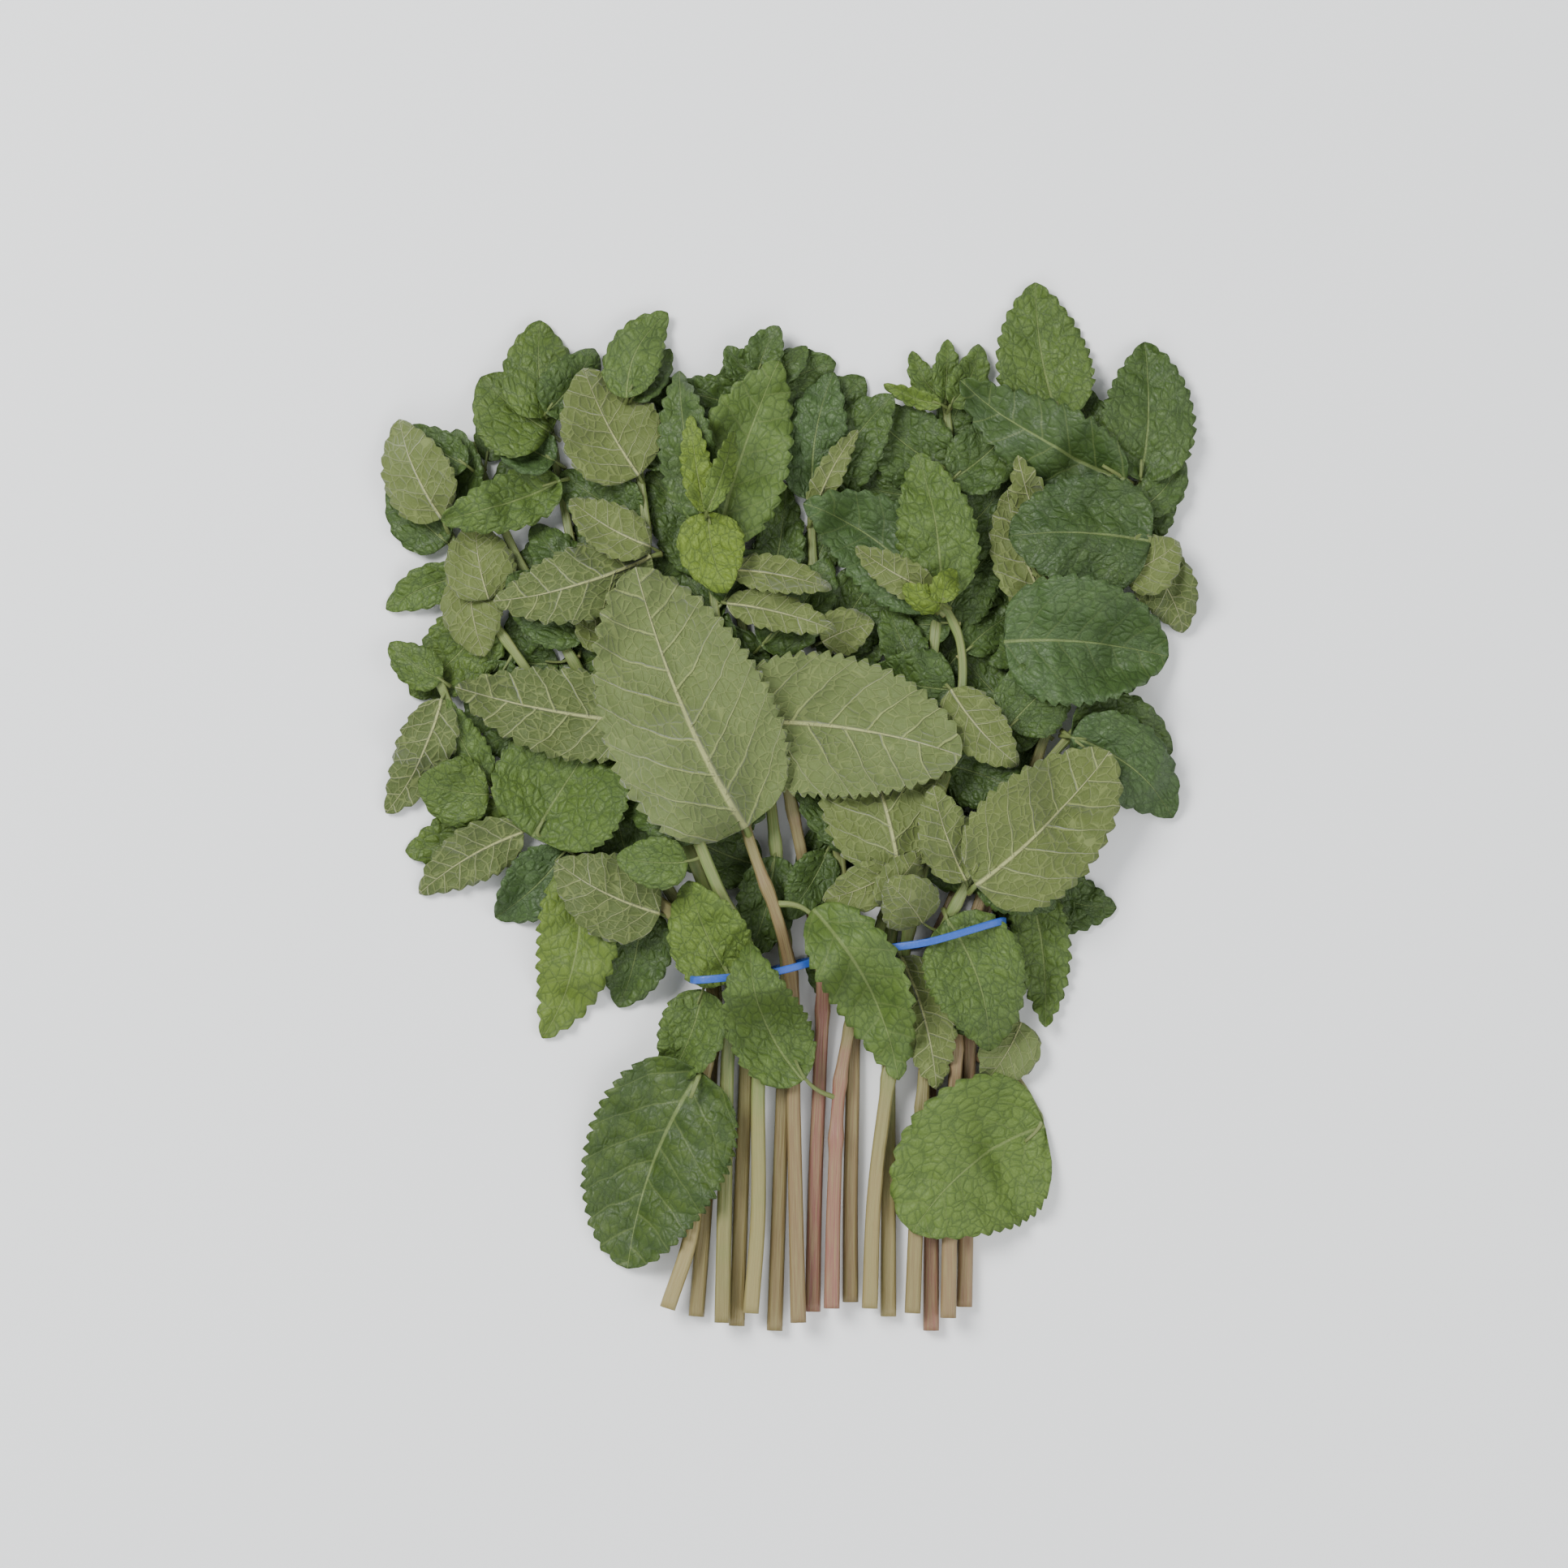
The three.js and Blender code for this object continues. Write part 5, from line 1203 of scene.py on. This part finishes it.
# Painted shade in the hollows and the creases, painted shade or pale colour on the side veins, and the pale
# midrib.
for share, mask, over in ((0.14, hollows, PAINTED_HOLLOW_SHADE), (crease_shade_share, veins["Net"], PAINTED_CREASE_SHADE),
                          (0.34, veins["Side Veins"], vein_shade_and_colour), (0.6, veins["Midrib"], RIB_GREEN)):
    colour = layer(tree, share, mask, colour, over)
colour = blend_node(tree, fade_node(tree, speckle, 0.62, 0.78, 0.0, 0.25), colour, SPECK_GREEN)
tree.links.new(colour, skin.inputs["Base Color"])
print("upper face, colour:", len(tree.nodes), "nodes")

# %% Upper face of a mint leaf: shine and relief
LEAST_ROUGH = 0.54
FLATTER = (0.85, 0.42)  # share of the relief on young leaves and on long ones
LEAF_RELIEF = 0.0003
gloss = weighted_sum(tree, (-0.12, veins["Panel"]), (0.2, speckle), (0.5, lightness))
roughness = number_node(tree, "MAXIMUM", number_node(tree, "MULTIPLY_ADD", gloss, 0.6, 0.42), LEAST_ROUGH)
tree.links.new(roughness, skin.inputs["Roughness"])
skin.inputs["Specular IOR Level"].default_value = 0.42
relief = weighted_sum(tree, (1.0, veins["Panel"]), (-0.3, veins["Fine Net"]),
                      (0.16, speckle), (-0.5, veins["Midrib"]))
relief = number_node(tree, "MULTIPLY", relief,
                     fade_node(tree, leaf_length, YOUNG_LENGTH, FULL_LENGTH, *FLATTER))
tree.links.new(bump_node(tree, relief, LEAF_RELIEF), skin.inputs["Normal"])
print("upper face:", len(tree.nodes), "nodes")

# %% [markdown]
# ## Underside
# The underside is a paler, dull grey-green, because its skin holds air. The midrib and side veins
# stand out as cream ridges, with the net as thin pale lines between them. It could be the upper
# face's material turned paler, but there the net sinks in and is dark, so it has a finish of its own.

# %% Underside of a mint leaf
GREY_GREENS = (0.048, 0.078, 0.022), (0.135, 0.182, 0.066)  # darkest and lightest
WARM_GREENS = (0.055, 0.080, 0.014), (0.150, 0.190, 0.036)
UNDER_LAYERS = (  # share, mask, colour
    (0.18, "Fine Net", (0.20, 0.24, 0.09)), (0.4, "Net", (0.19, 0.23, 0.07)),
    (0.72, "Side Veins", (0.25, 0.29, 0.10)), (0.9, "Midrib", (0.33, 0.35, 0.14)),
)
UNDER, tree, skin = new_material("mint_leaf_underside")
veins = place_veins(tree, 1.0)
lightness, yellowness, _ = parts_node(tree, read_node(tree, "leaf_tone"))
place = read_node(tree, "leaf_place")
patches = noise_node(tree, place, 0.16, 4.0)["Fac"]
speckle = noise_node(tree, place, 3.4, 3.0)["Fac"]
shade = blotched(tree, lightness, patches)
colour = blend_node(tree, yellowness, blend_node(tree, shade, *GREY_GREENS),
                    blend_node(tree, shade, *WARM_GREENS))
for share, mask, over in UNDER_LAYERS:
    colour = layer(tree, share, veins[mask], colour, over)
tree.links.new(colour, skin.inputs["Base Color"])
tree.links.new(number_node(tree, "MULTIPLY_ADD", speckle, 0.2, 0.55), skin.inputs["Roughness"])
skin.inputs["Specular IOR Level"].default_value = 0.3
skin.inputs["Sheen Weight"].default_value = 0.25
skin.inputs["Sheen Roughness"].default_value = 0.5
relief = weighted_sum(tree, (-0.45, veins["Panel"]), (0.3, veins["Net"]), (0.08, speckle),
                      (1.1, veins["Side Veins"]), (1.3, veins["Midrib"]))
tree.links.new(bump_node(tree, relief, LEAF_RELIEF), skin.inputs["Normal"])
print("underside:", len(tree.nodes), "nodes")

# %% [markdown]
# ## Stems
# A stem is tan or flushed with pink at its cut foot and turns green above, with fine lines along
# it. One even green would do from afar, but no two stems match. So the stem's tone in the mesh says
# how pink and how light its foot is, and how far up the green starts, and one finish serves all
# sixteen stems.

# %% Stem skin
TANS = (0.090, 0.066, 0.022), (0.330, 0.280, 0.105)  # darkest and lightest
PINKS = (0.090, 0.026, 0.026), (0.310, 0.125, 0.100)
STEM_GREEN, FIBRE_COLOUR = (0.130, 0.185, 0.050), (0.25, 0.23, 0.09)
FIBRE_STRETCH = (0.06, 2.6, 1.0)  # fibres run along the stem
STEM_RELIEF = 0.0002
STEM, tree, skin = new_material("mint_stem")
pinkness, lightness, green_from = parts_node(tree, read_node(tree, "leaf_tone"))
place = read_node(tree, "leaf_place")
along_stem, _, stem_length = parts_node(tree, place)
share = number_node(tree, "DIVIDE", along_stem, stem_length)
fibres = noise_node(tree, stretch_node(tree, place, FIBRE_STRETCH), 2.0, 4.0)["Fac"]
blotches = noise_node(tree, place, 0.12, 3.0)["Fac"]
foot_colour = blend_node(tree, pinkness, blend_node(tree, lightness, *TANS),
                         blend_node(tree, lightness, *PINKS))
upward = number_node(tree, "SUBTRACT", number_node(tree, "MULTIPLY_ADD", blotches, 0.3, share), green_from)
colour = blend_node(tree, fade_node(tree, upward, 0.0, 0.35), foot_colour, STEM_GREEN)
colour = blend_node(tree, fade_node(tree, fibres, 0.35, 0.7, 0.0, 0.45), colour, FIBRE_COLOUR)
tree.links.new(colour, skin.inputs["Base Color"])
tree.links.new(number_node(tree, "MULTIPLY_ADD", fibres, 0.2, 0.35), skin.inputs["Roughness"])
skin.inputs["Specular IOR Level"].default_value = 0.45
tree.links.new(bump_node(tree, fibres, STEM_RELIEF), skin.inputs["Normal"])
for blank in (*BLANKS.values(), STEM_BLANK, STALK_BLANK):
    for material in (UPPER, UNDER, STEM):
        blank.data.materials.append(material)
print("stem skin:", len(tree.nodes), "nodes")

# %% [markdown]
# ## Putting a sprig together
# Each sprig is a stem, its side shoots, its leaf stalks and its leaves, laid one by one and then
# joined into one piece that stands for the solid. A stalk leaves the stem where the way into the
# blade is short and straight. It could leave at the nearest point, but then many stalks would turn
# back on themselves, and the solids use this rule too.

# %% Stations of a stem, read from its solid
STATION = 17
STEM_FOOT, STEM_TIP = 3.4, 1.7
SHOOT_FOOT = 1.9
SHOOT_TIP = SHOOT_FOOT * 0.8


def stations_of(points, foot_width, tip_width, solid):
    """A stem's route, and its places with their heights every 17 mm or so."""
    route = Route(points)
    count = max(3, math.floor(route.length / STATION + 0.5))
    plan = np.array([route.spot(k / count) for k in range(count + 1)]) + SHIFT
    levels = np.full(count + 1, np.nan)
    for k in range(count + 1):
        run = plan[min(k + 1, count)] - plan[max(k - 1, 0)]
        run /= np.linalg.norm(run)
        half = mix(foot_width, tip_width, k / count) / 2
        side = np.array([run[1], -run[0]]) * half
        found = [solid.middle(*(plan[k] + side * way), STEM_MOST) for way in (1, -1)]
        found = [level for level in found if level is not None]
        if found:
            levels[k] = sum(found) / len(found)
    known = ~np.isnan(levels)
    places = np.arange(count + 1)
    levels = np.interp(places, places[known], levels[known])
    return route, np.column_stack([plan, levels])


hero_stem = SPRIGS["sprig_16_hero"]["stem"]
hero_stations = stations_of(hero_stem, STEM_FOOT, STEM_TIP, heights["sprig_16_hero"])[1]
print("stem levels:", hero_stations[:, 2].round(1))


# %% Where a stalk leaves its stem
STALK_SHORT = 3
TURN_COST = 5
ROOT_STEPS = 8


def find_root(rods, base, heading):
    """The place on a sprig's rods from which the way to a leaf's base is short and straight."""
    best = None
    for stations in rods:
        for n in range(1, (len(stations) - 1) * ROOT_STEPS):
            k = n // ROOT_STEPS
            spot = mix(stations[k], stations[k + 1], n / ROOT_STEPS - k)
            away = base - spot[:2]
            cost = float(np.linalg.norm(away))
            if cost > STALK_SHORT:
                cost += TURN_COST * (1 - float(away @ heading) / cost)
            if best is None or cost < best[0]:
                best = (cost, spot)
    return best[1]


print("first root:", find_root([hero_stations], np.array([-9.0, -4.5]), np.array([0.0, 1.0])).round(1))

# %% Paths of stems and stalks
BOW_SHARE, BOW_MOST = 0.35, 4.0


def stem_path(route, stations):
    shares = np.linspace(0, 1, len(stations))

    def path(share):
        chain = route.chain + SHIFT
        x = np.interp(share * route.length, route.run, chain[:, 0])
        y = np.interp(share * route.length, route.run, chain[:, 1])
        return np.column_stack([x, y, smooth_line(shares, stations[:, 2], share)])

    return path


def stalk_path(root, base, heading, into):
    """A bow from the stem to the blade that ends along the blade's own heading."""
    gap = float(np.linalg.norm(base[:2] - root[:2]))
    ahead = np.array([*heading, 0.0])
    first = mix(root, base, BOW_SHARE)
    last = base + ahead * into
    second = base - ahead * min(gap * BOW_SHARE, BOW_MOST)

    def path(share):
        t = share[:, None]
        from_root = (1 - t) ** 3 * root + 3 * t * (1 - t) ** 2 * first
        return from_root + 3 * t * t * (1 - t) * second + t ** 3 * last

    return path


test_path = stalk_path(np.zeros(3), np.array([5.0, 5.0, 2.0]), np.array([0.0, 1.0]), 1.0)
print("half way up a stalk:", test_path(np.array([0.5])).round(2))

# %% Tones of the stems
STEM_TONES = {  # pinkness, lightness, share of the length where green starts
    "sprig_01_back_left": (0.1, 0.5, 0.3), "sprig_02_back_middle": (0.2, 0.35, 0.35),
    "sprig_03_back_right": (0.8, 0.55, 0.5), "sprig_04_back_top": (0.1, 0.6, 0.2),
    "sprig_05_tall_middle": (0.9, 0.5, 0.5), "sprig_06_right_tall": (0.5, 0.5, 0.6),
    "sprig_07_left_tall": (0.1, 0.4, 0.4), "sprig_08_middle": (0.3, 0.4, 0.4),
    "sprig_09_right": (0.4, 0.5, 0.55), "sprig_10_middle_right": (0.1, 0.6, 0.3),
    "sprig_11_left_low": (0.1, 0.7, 0.55), "sprig_12_top_left": (0.0, 0.4, 0.1),
    "sprig_13_short": (0.9, 0.6, 0.5), "sprig_14_right_low": (0.15, 0.45, 0.35),
    "sprig_15_upper_left": (0.05, 0.65, 0.15), "sprig_16_hero": (0.35, 0.4, 0.62),
}
print("stem tones:", len(STEM_TONES))

# %% [markdown]
# ## Small leaves low down
# A real bunch has small leaves deep between the big ones, where only their edges show. They are
# too slight for the solids, so they are added here. Each grows from its own sprig's stem, low in
# the bunch, and its blade falls evenly from the height of its root to just above the table. There
# is no solid to read their heights from, and an even fall keeps them under the leaves above.

# %% Places of the small low leaves
LOW_LEAVES = {  # the places are those of the table above
    "sprig_01_back_left": [(-52, 46, -59, 31, 9, 0.05, UP, "dark")],
    "sprig_04_back_top": [(31, 67, 15, 70, 13, 0.06, UP, "dark"), (34.5, 78, 39, 90, 8, 0.05, UP, "dark")],
    "sprig_05_tall_middle": [(-5, 88, 11, 95, 12, 0.05, UP, "dark")],
    "sprig_07_left_tall": [(-53, 20, -64, 14, 11, 0.05, UP, "dark"),
                           (-58, 32, -67, 17, 12, 0.05, UP, "dark")],
    "sprig_08_middle": [(8, 80, 17, 92, 12, 0.05, UP, "dark"), (9, 30, 21, 35, 12, 0.05, UP, "dark"),
                        (13, -38, 6, -28, 9, 0.05, UP, "dark"), (6, 50, 12, 63, 9, 0.05, UP, "dark")],
    "sprig_09_right": [(49, 33, 42, 37, 8, 0.05, UP, "dark")],
    "sprig_10_middle_right": [(38, 34, 50, 43, 9, 0.05, UP, "dark"), (35, 40, 21, 41, 9, 0.05, UP, "dark")],
    "sprig_12_top_left": [(-42, 46, -29, 52, 9, 0.05, UP, "dark"), (-50, 78, -62, 68, 10, 0.05, UP, "dark"),
                          (-37, 34, -48, 30, 9, 0.05, UP, "dark"), (-46, 58, -58, 50, 9, 0.05, UP, "dark"),
                          (-44, 52, -39, 63, 8, 0.05, UP, "dark")],
    "sprig_14_right_low": [(48, 3, 53, 18, 9, 0.05, UP, "dark")],
    "sprig_15_upper_left": [(-28, 47, -21, 54, 9, 0.05, UP, "dark")],
    "sprig_16_hero": [(-14, 40, -21, 52, 10, 0.05, UP, "dark")],
}
LOW_END = 0.9
LOW_FALL = 0.65  # share of the whole fall that a low blade has behind it half way along


def low_blade(root_height):
    """Heights from the root to the tip, in the form that blade_middle gives."""
    levels = [root_height, mix(root_height, LOW_END, LOW_FALL), LOW_END]
    shares = np.array([[share] * 3 for share in (0.0, 0.5, 1.0)])
    return shares, [1.0, 0.0, -1.0], np.array([[level] * 3 for level in levels])


print("small low leaves:", sum(len(rows) for rows in LOW_LEAVES.values()))

# %% [markdown]
# ## Two corrections at the largest blade
# The largest blade lies flat on top of the others, but in its solid the midrib sags steeply where
# nothing lies under it. A midrib is the stiffest part of a leaf, so it is lifted a few millimetres,
# and nothing lies above it there. Under the same blade two small ones rise through it beside the
# stem, so they are set down by a few millimetres at their base and not at all at their tip. New
# solids would mend both better, and these few millimetres are what can be done without them.

# %% Correct a blade of the largest blade's sprig
SET_DOWN = {(-9, -1): 4.0, (-11, 2): 2.4}  # a small blade's base, and how far that end goes down
LARGEST_BASE = (-8, -3)
GREATEST_LIFT = 4.5


def stiffen(levels):
    """Lifts a sagging midrib towards the halves beside it, by no more than the greatest lift."""
    middle = levels.shape[1] // 2
    beside = (levels[:, middle - 1] + levels[:, middle + 1]) / 2
    lift = np.clip(beside - levels[:, middle], 0.0, GREATEST_LIFT)
    levels[:, middle] += lift
    print("midrib of the largest blade lifted by up to", round(float(lift.max()), 1), "mm")


def correct_blade(row, shares, levels):
    levels -= SET_DOWN.get(row[:2], 0.0) * (1.0 - shares)
    if row[:2] == LARGEST_BASE:
        stiffen(levels)


print("blades set down:", SET_DOWN)

# %% [markdown]
# ## Laying the sprigs
# On the real sprig all parts grow as one. Here the stem and its side shoots are laid first, then
# each leaf with its stalk, and at the end all are joined into one mesh. The shells run into one
# another where a stalk meets its stem. A boolean could weld them, but it would cut up the even rows
# of the blades, and nothing of the join shows.

# %% Lay the stems of a sprig
SWELLINGS = np.linspace(0.32, 0.96, 7)  # shares of the stem's length where it swells


def taper(first, last, scale=0.5):
    """Half widths in mm along a rod, from the widths at its two ends."""
    def half_width(share):
        return mix(first, last, share) * scale

    return half_width


def lay_stems(name, solid):
    """A stem and its side shoots: their copies, the stem's route, and the stations of each."""
    tone = STEM_TONES[name]
    route, stations = stations_of(SPRIGS[name]["stem"], STEM_FOOT, STEM_TIP, solid)
    path, half_width = stem_path(route, stations), taper(STEM_FOOT, STEM_TIP)
    parts, rods = [lay_rod(STEM_BLANK, path, half_width, tone, 1.0, SWELLINGS)], [stations]
    for points in SPRIGS[name].get("shoots", []):
        first, second = (np.array(point, float) + SHIFT for point in points[:2])
        start = find_root([stations], first, (second - first) / np.linalg.norm(second - first))
        shoot = [tuple(start[:2] - SHIFT), *points[1:]]
        shoot_route, shoot_stations = stations_of(shoot, SHOOT_FOOT, SHOOT_TIP, solid)
        shoot_stations[0, 2] = start[2]
        rods.append(shoot_stations)
        path, half_width = stem_path(shoot_route, shoot_stations), taper(SHOOT_FOOT, SHOOT_TIP)
        parts.append(lay_rod(STEM_BLANK, path, half_width, tone, 1.0))
    return parts, route, rods


print("places where a stem swells:", SWELLINGS.round(2))

# %% Lay the stalk of a leaf
STALK_FOOT, STALK_END = 0.95, 0.42  # half widths in mm, for a long leaf
STALK_GROWN, STALK_SLIMMEST = 45, 0.5  # the length in mm of such a leaf, and the least share of it
INTO_BLADE, INTO_MOST = 0.15, 6.0  # how far a stalk runs on into the blade: share of it, most in mm
STALK_TONE, STALK_SQUARE = (0.15, 0.6, 0.0), 0.3
ROOT_BACK = 0.7  # where a blade sits on its stem, the stalk starts this share of 3 mm behind it


def lay_stalk(leaf, blade, root):
    _, across, levels = blade
    base = np.array([*leaf.base, levels[0, len(across) // 2]])
    if np.linalg.norm(root[:2] - leaf.base) < STALK_SHORT:
        root = np.array([*(leaf.base - leaf.along * STALK_SHORT * ROOT_BACK), root[2]])
    path = stalk_path(root, base, leaf.along, min(INTO_MOST, leaf.length * INTO_BLADE))
    grown = np.clip(leaf.length / STALK_GROWN, STALK_SLIMMEST, 1.0)
    return lay_rod(STALK_BLANK, path, taper(STALK_FOOT, STALK_END, grown), STALK_TONE, STALK_SQUARE)


print("stalks:", 2 * STALK_FOOT, "mm wide at the foot at most")

# %% Build every sprig
SEEDS_APART = 100  # each sprig's leaves have seeds of their own


def join_parts(parts, name):
    bpy.ops.object.select_all(action="DESELECT")
    for part in parts:
        part.select_set(True)
    bpy.context.view_layer.objects.active = parts[0]
    bpy.ops.object.join()
    piece = bpy.context.active_object
    piece.name = name
    return piece


def build_sprig(name, number):
    sprig, solid = SPRIGS[name], heights[name]
    parts, route, rods = lay_stems(name, solid)
    low_rows = LOW_LEAVES.get(name, [])
    paired_rows = leaf_pairs(route, *sprig["pairs"]) if "pairs" in sprig else []
    for n, row in enumerate([*sprig["leaves"], *paired_rows, *low_rows]):
        leaf = Leaf(row)
        root = find_root(rods, leaf.base, leaf.along)
        blade = low_blade(root[2]) if row in low_rows else blade_middle(leaf, solid)
        if name == "sprig_16_hero":
            correct_blade(row, blade[0], blade[2])
        parts.append(lay_leaf(leaf, blade, number * SEEDS_APART + n))
        parts.append(lay_stalk(leaf, blade, root))
    piece = join_parts(parts, "mint_" + name)
    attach(piece, "root")
    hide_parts(name)
    return piece


pieces = [build_sprig(name, number) for number, name in enumerate(SPRIGS, 1)]
for blank in (*BLANKS.values(), STEM_BLANK, STALK_BLANK):
    bpy.data.objects.remove(blank)
faces = sum(sum(len(face.vertices) - 2 for face in piece.data.polygons) for piece in pieces)
print("sprigs:", len(pieces), "triangles:", faces)

# %% [markdown]
# ## Rubber band
# The band is a flat strip of blue rubber, cut from a tube and stretched round the stems. A torus
# would be round in section and even in outline, and this band follows the stems. So a copy of its
# solid is merged, its triangles are paired into quads, and three subdivisions round its corners,
# with its long edges creased so that the strip stays a strip.

# %% Round the band's solid
WELD = 0.00002
PAIRING = math.radians(60)
EDGE_CREASE = 0.35
ROUNDINGS = 3
band_solid = frame["nodes"]["rubber_band"]
band = bpy.data.objects.new("blue_rubber_band", band_solid.data.copy())
bpy.context.scene.collection.objects.link(band)
bpy.ops.object.select_all(action="DESELECT")
band.select_set(True)
bpy.context.view_layer.objects.active = band
bpy.ops.object.mode_set(mode="EDIT")
bpy.ops.mesh.select_all(action="SELECT")
bpy.ops.mesh.remove_doubles(threshold=WELD)
bpy.ops.mesh.tris_convert_to_quads(face_threshold=PAIRING, shape_threshold=PAIRING)
bpy.ops.transform.edge_crease(value=EDGE_CREASE)
bpy.ops.object.mode_set(mode="OBJECT")
rounding = band.modifiers.new("rounding", "SUBSURF")
rounding.levels = rounding.render_levels = ROUNDINGS
bpy.ops.object.modifier_apply(modifier=rounding.name)
bpy.ops.object.shade_smooth()
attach(band, "root")
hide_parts("rubber_band")
print("band:", len(band.data.polygons), "faces", [round(side * 1000, 1) for side in band.dimensions])

# %% Blue rubber
RUBBER_BLUES = (0.010, 0.055, 0.300), (0.022, 0.100, 0.450)  # darkest and lightest
BLOOM = (0.06, 0.17, 0.50)  # the pale dust that stretched rubber gets
RUBBER_RELIEF = 0.00006
RUBBER, tree, skin = new_material("blue_rubber")
where = tree.nodes.new("ShaderNodeTexCoord").outputs["Object"]
cloudy = noise_node(tree, where, 160.0, 3.0)["Fac"]
grain = noise_node(tree, where, 2600.0, 2.0)["Fac"]
colour = blend_node(tree, cloudy, *RUBBER_BLUES)
colour = blend_node(tree, fade_node(tree, grain, 0.5, 0.8, 0.0, 0.3), colour, BLOOM)
tree.links.new(colour, skin.inputs["Base Color"])
tree.links.new(number_node(tree, "MULTIPLY_ADD", grain, 0.25, 0.32), skin.inputs["Roughness"])
tree.links.new(bump_node(tree, grain, RUBBER_RELIEF), skin.inputs["Normal"])
band.data.materials.clear()
band.data.materials.append(RUBBER)
print("rubber:", len(tree.nodes), "nodes")
